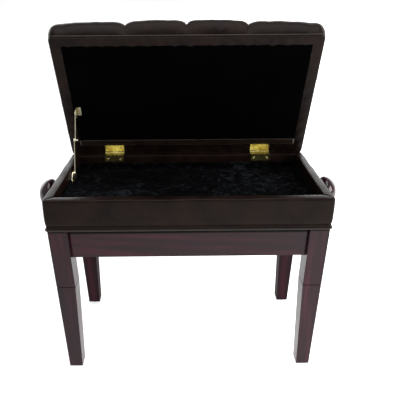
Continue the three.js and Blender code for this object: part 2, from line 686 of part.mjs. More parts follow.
// ---------------------------------------------------------------- lid
// The lid is drawn closed, with the hinge axis as its origin, and turned open as a whole.
const LID_REAR = LID_OVERHANG;
const LID_FRONT = LID_REAR - LID_DEPTH;
const BOARD_TOP = LID_ABOVE_AXIS + LID_BOARD;
const CUSHION_BASE = BOARD_TOP + FIT;

// How far each level of the cushion stands out from the board, as a share of the bulge, over its height.
const CUSHION_LEVELS = [
  [0, -0.2],
  [0.07, 0.45],
  [0.2, 0.9],
  [0.42, 1],
  [0.6, 0.75],
  [0.76, 0.1],
  [0.88, -1],
  [0.96, -2.4],
  [1, -5],
];

function cushionBlank() {
  const rings = CUSHION_LEVELS.map(([height, share]) => {
    const out = share * CUSHION_BULGE;
    const radius = CUSHION_CORNER + Math.max(0, -out) * 0.4;
    const outline = roundedOutline(
      -HALF_WIDTH - out,
      HALF_WIDTH + out,
      LID_FRONT - out,
      LID_REAR + out,
      radius,
      5,
    );
    return outlineAt(outline, CUSHION_BASE + height * CUSHION_HEIGHT);
  });
  return loft(rings);
}

// Three, four and three tufts in rows from front to rear.
function buttonPlaces() {
  const middle = (LID_FRONT + LID_REAR) / 2;
  return [-1, 0, 1].flatMap((row) => {
    const count = row === 0 ? 4 : 3;
    return Array.from({ length: count }, (_, i) => ({
      x: (i - (count - 1) / 2) * BUTTON_COLUMN,
      y: middle + row * BUTTON_ROW,
    }));
  });
}

function buildCushion(group) {
  const top = CUSHION_BASE + CUSHION_HEIGHT;
  const seat = top - BUTTON_SINK;
  const dimples = buttonPlaces().map(({ x, y }) =>
    new THREE.CylinderGeometry(DIMPLE_FLARE * BUTTON_RADIUS, BUTTON_RADIUS + DIMPLE_CLEARANCE, BUTTON_SINK + 1, 14)
      .rotateX(Math.PI / 2)
      .translate(x, y, seat + (BUTTON_SINK + 1) / 2),
  );
  add(group, "seat_cushion", cut(cushionBlank(), ...dimples), leather());
  const profile = [
    new THREE.Vector2(0, 0),
    new THREE.Vector2(BUTTON_RADIUS, 0),
    new THREE.Vector2(BUTTON_RADIUS, 0.3 * BUTTON_HEIGHT),
    new THREE.Vector2(0.7 * BUTTON_RADIUS, 0.8 * BUTTON_HEIGHT),
    new THREE.Vector2(0, BUTTON_HEIGHT),
  ];
  buttonPlaces().forEach(({ x, y }, i) => {
    const button = new THREE.LatheGeometry(profile, 16).rotateX(Math.PI / 2);
    const number = String(i + 1).padStart(2, "0");
    add(group, `button_${number}`, button, leather()).position.set(x, y, seat + FIT);
  });
}

function upperLeaf(x) {
  const top = LID_ABOVE_AXIS - FIT;
  const x0 = x - HINGE_WIDTH / 2;
  const x1 = x + HINGE_WIDTH / 2;
  const third = HINGE_WIDTH / 3;
  const plate = block(x0, x1, -LEAF_LENGTH, -KNUCKLE_RADIUS - FIT, top - LEAF_THICKNESS, top);
  const tongue = block(x0 + third + FIT, x1 - third - FIT, -LEAF_LENGTH, 0, top - LEAF_THICKNESS, top);
  const barrel = rodX(KNUCKLE_RADIUS, x0 + third + FIT, x1 - third - FIT, 0, 0, 16);
  const bore = rodX(PIN_RADIUS + FIT, x0, x1, 0, 0, 12);
  return cut(join(plate, tongue, barrel), bore);
}

function stayLidBracket() {
  const { lug, upper } = stayLayers();
  const pivot = STAY_LID_CLOSED;
  const top = LID_ABOVE_AXIS - FIT - DUST_PANEL - FIT;
  const section = new THREE.Shape([
    new THREE.Vector2(lug[0], pivot.y - STAY_EYE),
    new THREE.Vector2(lug[1], pivot.y - STAY_EYE),
    new THREE.Vector2(lug[1], top - STAY_PLATE),
    new THREE.Vector2(lug[0] + STAY_BRACKET_FOOT, top - STAY_PLATE),
    new THREE.Vector2(lug[0] + STAY_BRACKET_FOOT, top),
    new THREE.Vector2(lug[0], top),
  ]);
  return join(
    plateXZ(section, pivot.x - STAY_BRACKET / 2, pivot.x + STAY_BRACKET / 2),
    rodX(STAY_PIN, upper[0] - 0.2, lug[1], pivot.x, pivot.y, 12),
  );
}

function buildLid() {
  const group = new THREE.Group();
  group.position.copy(HINGE_AXIS);
  group.rotation.x = -LID_OPEN;
  const outline = roundedOutline(-HALF_WIDTH, HALF_WIDTH, LID_FRONT, LID_REAR, LID_CORNER);
  const board = loft([outlineAt(outline, LID_ABOVE_AXIS), outlineAt(outline, BOARD_TOP)]);
  add(group, "lid_board", board, leather());
  const panelHalf = HALF_WIDTH - LID_BORDER;
  const panelTop = LID_ABOVE_AXIS - FIT;
  const panel = block(
    -panelHalf,
    panelHalf,
    LID_FRONT + LID_BORDER_FRONT,
    LID_REAR - LID_BORDER_REAR,
    panelTop - DUST_PANEL,
    panelTop,
  );
  add(group, "dust_panel", panel, velvet());
  const weltBase = BOARD_TOP - WELT_HEIGHT / 2;
  const welt = frameRing(
    -HALF_WIDTH,
    HALF_WIDTH,
    LID_FRONT,
    LID_REAR,
    WELT_PROUD,
    LID_CORNER,
    weltBase,
    weltBase + WELT_HEIGHT / 2,
  );
  add(group, "lid_welt", welt, leather());
  buildCushion(group);
  for (const [side, sign] of Object.entries(SIDES)) {
    add(group, `hinge_leaf_upper_${side}`, upperLeaf(sign * HINGE_X), brass());
  }
  add(group, "stay_lid_bracket", stayLidBracket(), brass());
  return group;
}

// ---------------------------------------------------------------- lid stay arms
function stayArm(from, to, xs, rivet) {
  const span = to.clone().sub(from);
  const shape = stadium(span.length(), STAY_ARM_WIDTH, STAY_EYE);
  addHole(shape, 0, 0, STAY_PIN + STAY_PIN_CLEARANCE);
  if (!rivet) {
    addHole(shape, span.length(), 0, STAY_PIN + STAY_PIN_CLEARANCE);
  }
  const plate = barYZ(shape, xs[0], xs[1]);
  const geometry = rivet
    ? join(plate, rodX(STAY_PIN, xs[1] - PIN_ROOT, xs[1] + STAY_STUD, span.length(), 0, 14))
    : plate;
  const mesh = new THREE.Mesh(geometry, brass());
  mesh.position.set(0, from.x, from.y);
  mesh.rotation.x = span.angle();
  return mesh;
}

function buildStay() {
  const group = new THREE.Group();
  const { lower, upper } = stayLayers();
  const lowerArm = stayArm(STAY_WALL_PIVOT, STAY_ELBOW, lower, false);
  lowerArm.name = "stay_lower_arm";
  const upperArm = stayArm(STAY_LID_PIVOT, STAY_ELBOW, upper, true);
  upperArm.name = "stay_upper_arm";
  group.add(lowerArm, upperArm);
  return group;
}

// ---------------------------------------------------------------- the whole bench
const bench = new THREE.Group();
bench.add(buildBase());
bench.add(buildArms("p", LOWER_PIVOT, -ARM_ANGLE));
bench.add(buildArms("q", UPPER_PIVOT, ARM_ANGLE));
bench.add(buildSeatBox());
bench.add(buildScrew());
add(bench, "lift_nut", buildNut(), steel());
bench.add(buildLid());
bench.add(buildStay());

// The origin is on the floor, under the middle of the opened bench.
bench.updateMatrixWorld(true);
const extent = new THREE.Box3().setFromObject(bench, true);
bench.position.y = -(extent.min.y + extent.max.y) / 2;

export default bench;
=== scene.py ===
import json
import math

import bpy
import numpy as np
from mathutils import Matrix, Vector

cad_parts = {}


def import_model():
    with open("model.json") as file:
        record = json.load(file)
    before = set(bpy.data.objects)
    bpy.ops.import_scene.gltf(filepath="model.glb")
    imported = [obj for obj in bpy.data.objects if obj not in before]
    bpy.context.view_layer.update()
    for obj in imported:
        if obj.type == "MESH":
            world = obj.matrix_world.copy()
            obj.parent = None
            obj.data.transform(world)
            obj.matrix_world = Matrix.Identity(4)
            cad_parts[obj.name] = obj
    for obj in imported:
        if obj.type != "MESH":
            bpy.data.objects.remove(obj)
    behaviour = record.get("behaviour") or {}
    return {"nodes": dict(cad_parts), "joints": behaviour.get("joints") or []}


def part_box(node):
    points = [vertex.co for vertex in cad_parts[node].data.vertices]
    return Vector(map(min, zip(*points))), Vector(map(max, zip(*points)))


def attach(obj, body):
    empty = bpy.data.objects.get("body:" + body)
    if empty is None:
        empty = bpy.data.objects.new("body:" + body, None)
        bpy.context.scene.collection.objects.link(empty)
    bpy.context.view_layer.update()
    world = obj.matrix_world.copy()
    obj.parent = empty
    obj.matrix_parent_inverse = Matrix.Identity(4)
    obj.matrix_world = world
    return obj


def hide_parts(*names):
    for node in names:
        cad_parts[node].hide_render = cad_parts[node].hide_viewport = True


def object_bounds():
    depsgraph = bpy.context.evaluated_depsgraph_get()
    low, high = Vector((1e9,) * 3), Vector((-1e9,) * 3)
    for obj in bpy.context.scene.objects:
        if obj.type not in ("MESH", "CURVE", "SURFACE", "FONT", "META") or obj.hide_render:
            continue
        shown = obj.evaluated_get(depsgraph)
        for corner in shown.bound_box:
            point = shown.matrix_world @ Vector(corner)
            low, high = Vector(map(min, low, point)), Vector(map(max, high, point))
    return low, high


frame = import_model()
cad_low, cad_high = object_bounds()

# ------------------------------------------------------------------ places taken from the CAD
joints = {j["name"]: j for j in frame["joints"]}
hinge = joints["lid_hinge"]
LID_OPEN = math.radians(hinge["range_deg"][1])
# The lid is drawn closed, with the hinge's axis at the origin, and LID turns it to its opened place.
LID = Matrix.Translation(Vector(hinge["pos_m"])) @ Matrix.Rotation(-LID_OPEN, 4, "X")
LID_BACK = LID.inverted()
LID_DOWN = LID.to_3x3() @ Vector((0, 0, -1))


def span(*names):
    """Lowest and highest corner of several nodes together."""
    lows, highs = zip(*(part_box(n) for n in names))
    return np.array(lows).min(0), np.array(highs).max(0)


def closed_span(name):
    """Lowest and highest corner of a lid node, in the closed lid's frame."""
    co = np.array([LID_BACK @ v.co for v in frame["nodes"][name].data.vertices])
    return co.min(0), co.max(0)


def middle_and_half(low, high):
    """Centre and half size of a box, in X and Y."""
    low, high = np.array(low)[:2], np.array(high)[:2]
    return (low + high) / 2, (high - low) / 2


# ------------------------------------------------------------------ node helpers
class Nodes:
    def __init__(self, name):
        self.mat = bpy.data.materials.new(name)
        self.mat.use_nodes = True
        self.tree = self.mat.node_tree
        self.shader = self.tree.nodes["Principled BSDF"]
        self.coords = self.tree.nodes.new("ShaderNodeTexCoord").outputs["Object"]

    def link(self, a, b):
        self.tree.links.new(a, b)

    def new(self, kind, **props):
        node = self.tree.nodes.new(kind)
        for key, value in props.items():
            setattr(node, key, value)
        return node

    def mapped(self, scale):
        node = self.new("ShaderNodeMapping")
        node.inputs["Scale"].default_value = scale
        self.link(self.coords, node.inputs["Vector"])
        return node.outputs["Vector"]

    def noise(self, scale=1.0, detail=4, rough=0.55, vector=None, distortion=0.0):
        node = self.new("ShaderNodeTexNoise")
        node.inputs["Scale"].default_value = scale
        node.inputs["Detail"].default_value = detail
        node.inputs["Roughness"].default_value = rough
        node.inputs["Distortion"].default_value = distortion
        self.link(vector or self.coords, node.inputs["Vector"])
        return node.outputs["Fac"]

    def voronoi(self, scale, feature="F1"):
        node = self.new("ShaderNodeTexVoronoi", feature=feature)
        node.inputs["Scale"].default_value = scale
        self.link(self.coords, node.inputs["Vector"])
        return node.outputs["Distance"]

    def wave(self, scale, direction, vector=None, distortion=0.0, detail=2.0):
        node = self.new("ShaderNodeTexWave", wave_type="BANDS", bands_direction=direction)
        node.inputs["Scale"].default_value = scale
        node.inputs["Distortion"].default_value = distortion
        node.inputs["Detail"].default_value = detail
        self.link(vector or self.coords, node.inputs["Vector"])
        return node.outputs["Fac"]

    def ramp(self, fac, stops):
        """Colour by value; a stop is (value, colour)."""
        node = self.new("ShaderNodeValToRGB")
        ramp = node.color_ramp
        while len(ramp.elements) < len(stops):
            ramp.elements.new(0.5)
        for element, (place, colour) in zip(ramp.elements, stops):
            element.position = place
            element.color = (*colour, 1)
        self.link(fac, node.inputs["Fac"])
        return node.outputs["Color"]

    def fit(self, fac, low, high, from_low=0.3, from_high=0.7):
        node = self.new("ShaderNodeMapRange")
        node.inputs["From Min"].default_value = from_low
        node.inputs["From Max"].default_value = from_high
        node.inputs["To Min"].default_value = low
        node.inputs["To Max"].default_value = high
        self.link(fac, node.inputs["Value"])
        return node.outputs["Result"]

    def multiply(self, a, b):
        node = self.new("ShaderNodeMath", operation="MULTIPLY")
        self.link(a, node.inputs[0])
        self.link(b, node.inputs[1])
        return node.outputs[0]

    def mix(self, fac, a, b):
        node = self.new("ShaderNodeMix", data_type="RGBA")
        for socket, value in ((node.inputs[0], fac), (node.inputs[6], a), (node.inputs[7], b)):
            if isinstance(value, tuple):
                socket.default_value = (*value, 1)
            else:
                self.link(value, socket)
        return node.outputs[2]

    def bump(self, *layers):
        """Each layer is (height, strength, distance in metres)."""
        normal = None
        for height, strength, distance in layers:
            node = self.new("ShaderNodeBump")
            node.inputs["Strength"].default_value = strength
            node.inputs["Distance"].default_value = distance
            self.link(height, node.inputs["Height"])
            if normal is not None:
                self.link(normal, node.inputs["Normal"])
            normal = node.outputs["Normal"]
        self.link(normal, self.shader.inputs["Normal"])

    def set(self, **values):
        for key, value in values.items():
            socket = self.shader.inputs[key.replace("_", " ")]
            if hasattr(value, "is_linked"):
                self.link(value, socket)
            else:
                socket.default_value = (*value, 1) if isinstance(value, tuple) else value
        return self.mat


# ------------------------------------------------------------------ materials
def leather_material(name, dark, light, specular, rough):
    n = Nodes(name)
    cloudy = n.noise(scale=22)
    pores = n.voronoi(scale=620, feature="DISTANCE_TO_EDGE")
    grain = n.voronoi(scale=260)
    creases = n.noise(scale=75, detail=5, rough=0.6, distortion=1.2)
    colour = n.mix(n.fit(creases, 0, 0.55), n.ramp(cloudy, [(0.3, dark), (0.72, light)]), dark)
    n.bump((creases, 0.16, 0.0012), (grain, 0.10, 0.0006), (pores, 0.22, 0.00025))
    return n.set(Base_Color=colour, Roughness=n.fit(cloudy, *rough), Specular_IOR_Level=specular)


def mahogany_material(name, axis, painted_shade_from=None, gloss=0.37, specular=0.06):
    """Stained wood under a gloss coat; above the height in the third argument, if given, it carries painted
    shade, near black and without its coat, standing in for the shadow under the seat box.
    """
    shade_band = 0.003
    n = Nodes(name)
    along = n.mapped([1.6 if a == axis else 22 for a in "xyz"])
    fibre = n.mapped([14 if a == axis else 420 for a in "xyz"])
    figure = n.noise(detail=5, vector=along, distortion=1.4)
    pores = n.noise(detail=2, rough=0.5, vector=fibre)
    stripes = n.wave(1.1, "DIAGONAL", along, distortion=5.0, detail=3.0)
    base = n.ramp(figure, [
        (0.30, (0.0060, 0.0009, 0.0026)),
        (0.50, (0.0230, 0.0030, 0.0080)),
        (0.72, (0.0540, 0.0070, 0.0160)),
    ])
    streaks = n.mix(n.fit(stripes, 0.0, 0.55), base, (0.0090, 0.0015, 0.0024))
    open_pores = n.fit(pores, 0.0, 0.7, from_low=0.56, from_high=0.72)
    colour = n.mix(open_pores, streaks, (0.0035, 0.0008, 0.0010))
    n.bump((n.noise(scale=9, detail=2), 0.05, 0.002), (pores, 0.03, 0.0003))
    rough = n.fit(n.noise(scale=14, detail=3), 0.10, 0.20)
    facing = n.new("ShaderNodeLayerWeight").outputs["Facing"]
    coat = n.fit(facing, gloss, gloss / 3, from_low=0.45, from_high=0.95)
    # Painted shade: above the given height the colour goes to near black and the gloss coat fades out,
    # standing in for the shadow under the seat box.
    if painted_shade_from:
        parts = n.new("ShaderNodeSeparateXYZ")
        n.link(n.coords, parts.inputs[0])
        out_of_painted_shade = n.fit(parts.outputs["Z"], 1.0, 0.03, painted_shade_from, painted_shade_from + shade_band)
        colour = n.mix(out_of_painted_shade, (0.0012, 0.0007, 0.0007), colour)
        coat = n.multiply(coat, out_of_painted_shade)
    return n.set(
        Base_Color=colour, Roughness=rough, Specular_IOR_Level=specular, Coat_Weight=coat, Coat_Roughness=0.05
    )


def velvet_material():
    n = Nodes("crushed_velvet")
    crushed = n.noise(scale=34, detail=6, rough=0.62, distortion=2.2)
    drift = n.noise(scale=7, detail=3)
    pile = n.noise(scale=1400, detail=2)
    mottle = n.multiply(crushed, n.fit(drift, 0.75, 1.15))
    colour = n.ramp(mottle, [
        (0.38, (0.0003, 0.0003, 0.0004)),
        (0.52, (0.0016, 0.0017, 0.0021)),
        (0.66, (0.0110, 0.0120, 0.0145)),
    ])
    n.bump((crushed, 0.5, 0.0020), (pile, 0.25, 0.0004))
    return n.set(
        Base_Color=colour,
        Roughness=0.85,
        Specular_IOR_Level=0.02,
        Sheen_Weight=0.015,
        Sheen_Roughness=0.35,
        Sheen_Tint=(0.75, 0.78, 0.9),
    )


def cloth_material():
    n = Nodes("dust_cloth")
    thread_scale = 420
    weave = n.multiply(n.wave(thread_scale, "X"), n.wave(thread_scale, "Y"))
    blotch = n.noise(scale=12, detail=3)
    colour = n.ramp(blotch, [(0.3, (0.0004, 0.0004, 0.0005)), (0.75, (0.0010, 0.0010, 0.0011))])
    n.bump((weave, 0.3, 0.0003), (blotch, 0.1, 0.002))
    return n.set(Base_Color=colour, Roughness=0.95, Specular_IOR_Level=0.01)


def brass_material(name, stops):
    n = Nodes(name)
    tarnish = n.noise(scale=60, detail=5, rough=0.6)
    scratches = n.noise(detail=2, rough=0.5, vector=n.mapped((60, 900, 900)))
    n.bump((scratches, 0.08, 0.0003))
    return n.set(Base_Color=n.ramp(tarnish, stops), Metallic=1.0, Roughness=n.fit(tarnish, 0.34, 0.20))


def steel_material():
    n = Nodes("zinc_plated_steel")
    spangle = n.voronoi(scale=140)
    brushed = n.noise(detail=2, rough=0.5, vector=n.mapped((40, 1500, 1500)))
    colour = n.ramp(spangle, [(0.0, (0.30, 0.31, 0.33)), (0.9, (0.48, 0.48, 0.49))])
    n.bump((brushed, 0.10, 0.0003))
    return n.set(Base_Color=colour, Metallic=1.0, Roughness=n.fit(n.noise(scale=35), 0.30, 0.48))


def plywood_material():
    n = Nodes("tray_plywood")
    grain = n.noise(detail=5, rough=0.6, vector=n.mapped((3, 45, 45)), distortion=1.0)
    colour = n.ramp(grain, [(0.3, (0.17, 0.095, 0.045)), (0.7, (0.33, 0.20, 0.105))])
    n.bump((grain, 0.12, 0.0005))
    return n.set(Base_Color=colour, Roughness=0.72)


def nylon_material():
    n = Nodes("nylon_glide")
    speckle = n.noise(scale=500, detail=2)
    colour = n.ramp(speckle, [(0.3, (0.008, 0.008, 0.008)), (0.7, (0.016, 0.016, 0.016))])
    n.bump((speckle, 0.15, 0.0003))
    return n.set(Base_Color=colour, Roughness=0.5)


LEATHER = leather_material(
    "seat_leather", dark=(0.0050, 0.0024, 0.0018), light=(0.0165, 0.0080, 0.0055),
    specular=0.085, rough=(0.30, 0.46),
)
# This leather is lighter and glossier than the seat leather; its lighter tan is a painted highlight, raised to
# match the light line along the piping, and it also colours the buttons and the rear strip.
PIPING = leather_material(
    "piping_leather", dark=(0.0110, 0.0065, 0.0045), light=(0.0240, 0.0150, 0.0105),
    specular=0.28, rough=(0.24, 0.36),
)
STITCH = leather_material(
    "stitch_thread", dark=(0.0016, 0.0013, 0.0012), light=(0.0040, 0.0030, 0.0026),
    specular=0.2, rough=(0.5, 0.7),
)
APRON_SHADE, LEG_SHADE = 0.3425, 0.3500  # heights above which the wood carries painted shade, dark and dull, for the shadow under the seat box
MAHOGANY = {
    "x": mahogany_material("mahogany_x", "x", APRON_SHADE),
    "y": mahogany_material("mahogany_y", "y", APRON_SHADE),
    "z": mahogany_material("mahogany_z", "z", LEG_SHADE),
    # The rear legs' copy has a thinner gloss coat and no specular, so they look duller: painted shade standing
    # in for the shade at the back.
    "shaded_rear_leg": mahogany_material("mahogany_rear_leg", "z", LEG_SHADE, gloss=0.24, specular=0.0),
    "knob": mahogany_material("mahogany_knob", "x", gloss=1.0),
}
VELVET = velvet_material()
CLOTH = cloth_material()
BRASS = brass_material("polished_brass", [
    (0.3, (0.48, 0.38, 0.10)), (0.6, (0.80, 0.71, 0.30)), (0.8, (0.92, 0.88, 0.56)),
])
PALE_BRASS = brass_material("pale_brass", [
    (0.3, (0.62, 0.55, 0.36)), (0.6, (0.88, 0.83, 0.64)), (0.8, (0.96, 0.94, 0.84)),
])
STEEL = steel_material()
PLYWOOD = plywood_material()
NYLON = nylon_material()


# ------------------------------------------------------------------ mesh helpers
def piece(name, verts, faces, material, body, slot):
    mesh = bpy.data.meshes.new(name)
    mesh.from_pydata([tuple(map(float, v)) for v in verts], [], [tuple(map(int, f)) for f in faces])
    mesh.validate()
    mesh.materials.append(material)
    for polygon in mesh.polygons:
        polygon.use_smooth = True
    obj = bpy.data.objects.new(name, mesh)
    bpy.context.scene.collection.objects.link(obj)
    if body:
        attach(obj, body)
    return obj


def to_lid(verts):
    """Takes points from the closed lid's frame to the opened lid."""
    m = np.array(LID)
    return np.asarray(verts, float) @ m[:3, :3].T + m[:3, 3]


def ring(ax, ay, r, nx, ny, nc, centre=(0.0, 0.0)):
    """Points and outward directions round a rounded rectangle, anticlockwise from the front left.

    ax and ay are half sizes, r is the corner radius, and nx, ny and nc are the steps along X, Y and a corner.
    """
    r = max(r, 0.0004)
    side_x, side_y = ax - r, ay - r
    sides = [  # start, run, steps, outward direction, then the corner's centre and first angle
        ((-side_x, -ay), (2 * side_x, 0), nx, (0, -1), (side_x, -side_y), -90),
        ((ax, -side_y), (0, 2 * side_y), ny, (1, 0), (side_x, side_y), 0),
        ((side_x, ay), (-2 * side_x, 0), nx, (0, 1), (-side_x, side_y), 90),
        ((-ax, side_y), (0, -2 * side_y), ny, (-1, 0), (-side_x, -side_y), 180),
    ]
    points, normals = [], []
    for (x, y), (dx, dy), n, out, (corner_x, corner_y), first in sides:
        for i in range(n + 1):
            points.append((x + dx * i / n, y + dy * i / n))
            normals.append(out)
        for i in range(1, nc):
            a = math.radians(first + 90 * i / nc)
            points.append((corner_x + r * math.cos(a), corner_y + r * math.sin(a)))
            normals.append((math.cos(a), math.sin(a)))
    return np.array(points) + centre, np.array(normals)


def loft(rings, close=False, caps=True):
    """Quads between rings of equal count; caps closes the first and last with one face."""
    count = len(rings[0])
    faces = []
    for k in range(len(rings) if close else len(rings) - 1):
        a, b = k * count, ((k + 1) % len(rings)) * count
        for i in range(count):
            j = (i + 1) % count
            faces.append((a + i, a + j, b + j, b + i))
    if caps and not close:
        faces.append(tuple(range(count - 1, -1, -1)))
        last = (len(rings) - 1) * count
        faces.append(tuple(range(last, last + count)))
    return np.concatenate(rings), faces


def flat_grid(centre, half, nx, ny):
    """Points of a flat rectangle, each point's distance from its edge, and upward quads."""
    points = []
    for y in np.linspace(-1, 1, ny + 1):
        points += [(centre[0] + x * half[0], centre[1] + y * half[1]) for x in np.linspace(-1, 1, nx + 1)]
    points = np.array(points)
    edge = np.min(half - np.abs(points - centre), axis=1)
    quads = []
    for j in range(ny):
        for i in range(nx):
            near = j * (nx + 1) + i
            far = near + nx + 1
            quads.append((near, near + 1, far + 1, far))
    return points, edge, quads


def smooth_noise(p, seed, size):
    """Smooth repeatable wobble of about unit height; p is (n, 2) in metres, size the width of a bump."""
    rng = np.random.default_rng(seed)
    out = np.zeros(len(p))
    waves = 7
    for _ in range(waves):
        angle, phase = rng.uniform(0, 2 * math.pi, 2)
        k = 2 * math.pi / (size * rng.uniform(0.7, 1.5))
        out += np.sin(k * (p[:, 0] * math.cos(angle) + p[:, 1] * math.sin(angle)) + phase)
    return out / waves ** 0.5


def lathe(profile, segments):
    """Closed solid of revolution about +X from (x, r) points; the first and last r are 0."""
    verts, faces = [(profile[0][0], 0, 0)], []
    for x, r in profile[1:-1]:
        for i in range(segments):
            a = 2 * math.pi * i / segments
            verts.append((x, r * math.cos(a), r * math.sin(a)))
    verts.append((profile[-1][0], 0, 0))
    rows = len(profile) - 2
    for i in range(segments):
        j = (i + 1) % segments
        faces.append((0, 1 + j, 1 + i))
        for k in range(rows - 1):
            a, b = 1 + k * segments, 1 + (k + 1) * segments
            faces.append((a + i, a + j, b + j, b + i))
        last = 1 + (rows - 1) * segments
        faces.append((last + i, last + j, len(verts) - 1))
    return np.array(verts), faces


def bevel(obj, width):
    mod = obj.modifiers.new("edges", "BEVEL")
    mod.width = width
    mod.segments = 2
    mod.limit_method = "ANGLE"
    mod.angle_limit = math.radians(50)
    mod.use_clamp_overlap = True
    mod.harden_normals = True


def merged(parts):
    verts, faces, base = [], [], 0
    for v, f in parts:
        verts.append(v)
        faces += [tuple(i + base for i in face) for face in f]
        base += len(v)
    return np.concatenate(verts), faces


def turn_to(direction, roll):
    """Rotation that takes +X to a direction, after a roll about it."""
    x = Vector(direction).normalized()
    side = Vector((0, 0, 1)) if abs(x.z) < 0.9 else Vector((0, 1, 0))
    y = side.cross(x).normalized()
    z = x.cross(y)
    return Matrix((x, y, z)).transposed() @ Matrix.Rotation(roll, 3, "X")


def screw_head(place, direction, radius, roll):
    """A low countersunk head with a cross recess."""
    angles = np.arange(40) * 2 * math.pi / 40
    rings = []
    for depth, share in ((-0.0002, 0.96), (0.00015, 1.0), (0.0004, 0.9), (0.00055, 0.68)):
        r = radius * share
        rings.append(np.array([(depth, r * math.cos(a), r * math.sin(a)) for a in angles]))
    for depth, share in ((0.0005, 0.5), (-0.0004, 0.42), (-0.0006, 0.3)):
        row = []
        for a in angles:
            lobes = abs(math.cos(2 * a)) ** 3
            r = radius * share * (0.42 + 0.75 * lobes)
            row.append((depth, r * math.cos(a), r * math.sin(a)))
        rings.append(np.array(row))
    verts, faces = loft(rings)
    return verts @ np.array(turn_to(direction, roll)).T + np.array(place), faces


# ------------------------------------------------------------------ CAD nodes that stay
NODE_LOOKS = {  # by the start of the node's name: its material and the width of its rounded edges
    "leg_front": (MAHOGANY["z"], 0.0012),
    "leg_rear": (MAHOGANY["shaded_rear_leg"], 0.0012),
    "apron_front": (MAHOGANY["x"], 0.0010),
    "apron_rear": (MAHOGANY["x"], 0.0010),
    "apron_left": (MAHOGANY["y"], 0.0010),
    "apron_right": (MAHOGANY["y"], 0.0010),
    "stay": (PALE_BRASS, 0.00025),
    "hinge": (BRASS, 0.00025),
    "bushing": (BRASS, 0.0004),
    "glide": (NYLON, 0.0006),
    "tray_floor": (PLYWOOD, 0.0004),
    "": (STEEL, 0.0003),
}
for name, node in frame["nodes"].items():
    finish, width = next(look for start, look in NODE_LOOKS.items() if name.startswith(start))
    node.data.materials.clear()
    node.data.materials.append(finish)
    bevel(node, width)

# ------------------------------------------------------------------ leather-wrapped seat box
box_low, box_high = span("box_wall_front", "box_wall_rear", "box_wall_left", "box_wall_right")
box_centre, (half_x, half_y) = middle_and_half(box_low, box_high)
foot, rim = box_low[2], box_high[2]
wall_low, wall_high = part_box("box_wall_left")
WALL = wall_high.x - wall_low.x
welt_low, welt_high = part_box("box_welt")
velvet_low, velvet_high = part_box("tray_lining")
EDGE, INNER_EDGE = 0.005, 0.003  # radii of the rim's outer and inner edge
BOX_CORNER = 0.007  # corner radius
CREASE = welt_high.z + 0.0062  # height of the fold above the piping


def seat_frame():
    """Leather over the four walls: a closed section of (distance in from the face, height) swept round."""
    face_low, face_high = CREASE + 0.0026, rim - EDGE
    section = [(WALL, foot), (0.0012, foot), (0.0003, foot + 0.0009), (0.0003, welt_high.z)]
    section += [(0.0001, CREASE - 0.0022), (0.0005, CREASE - 0.0008), (0.0014, CREASE)]
    section += [(0.0004, CREASE + 0.0009), (-0.0003, face_low)]
    for i in range(1, 9):
        t = i / 9
        bulge = 0.0008 * math.sin(math.pi * (0.25 + 0.75 * t))
        section.append((-bulge, face_low + (face_high - face_low) * t))
    for i in range(7):
        a = math.pi / 2 * i / 6
        section.append((EDGE - EDGE * math.cos(a), face_high + EDGE * math.sin(a)))
    for t in (0.2, 0.4, 0.6, 0.8):
        section.append((EDGE + (WALL - EDGE - INNER_EDGE) * t, rim + 0.0004 * math.sin(math.pi * t)))
    for i in range(5):
        a = math.pi / 2 * i / 4
        inward = WALL - INNER_EDGE + INNER_EDGE * math.sin(a)
        section.append((inward, rim - INNER_EDGE + INNER_EDGE * math.cos(a)))
    section += [(WALL + 0.0002, rim - 0.010), (WALL, velvet_high.z + 0.001), (WALL, velvet_high.z - 0.003)]
    rings = []
    for inward, z in section:
        radius = max(BOX_CORNER - 0.75 * max(inward, 0), 0.0006)
        flat, out = ring(half_x - inward, half_y - inward, radius, nx=90, ny=46, nc=8, centre=box_centre)
        height = np.full(len(flat), z)
        on_face = np.clip((z - CREASE) / 0.01, 0, 1) * (inward < 0.004)
        sway = 0.00035 * smooth_noise(np.c_[flat[:, 0] + 2 * flat[:, 1], height], 3, 0.11) * on_face
        flat = flat + out * sway[:, None]
        lift = 0.00025 * smooth_noise(flat, 8, 0.09) * (z > rim - 0.001)
        x, y = np.abs(flat - box_centre).T
        mitre = np.abs((x - half_x) - (y - half_y))
        fold = 0.0007 * np.exp(-((mitre / 0.0012) ** 2)) * (z > rim - 0.004)
        rings.append(np.c_[flat, height + lift - fold])
    verts, faces = loft(rings, close=True)
    obj = piece("seat_frame_leather", verts, faces, LEATHER, "seat_box", "leather")
    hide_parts("box_wall_front", "box_wall_rear", "box_wall_left", "box_wall_right")


def distance_round(flat):
    """Distance run at each point of a ring."""
    return np.r_[0, np.cumsum(np.linalg.norm(np.diff(flat, axis=0), axis=1))]


def tube_round(name, half, r, z, radius, body, centre, node, seed):
    """Piping: a tube round a rounded rectangle, with slight swelling between its stitches."""
    flat, out = ring(*half, r, nx=140, ny=70, nc=10, centre=centre)
    steps = distance_round(flat)
    stitch_pitch = 0.0072
    swell = 1 + 0.035 * np.sin(2 * math.pi * steps / stitch_pitch)
    swell += 0.03 * smooth_noise(np.c_[steps, steps], seed, 0.05)
    rings = []
    for a in np.arange(12) * 2 * math.pi / 12:
        side, up = radius * math.cos(a) * swell, radius * math.sin(a) * swell
        rings.append(np.c_[flat + out * side[:, None], z + up])
    verts, faces = loft(rings[::-1], close=True)
    if body == "lid":
        verts = to_lid(verts)
    obj = piece(name, verts, faces, PIPING, body, "leather")
    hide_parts(node)


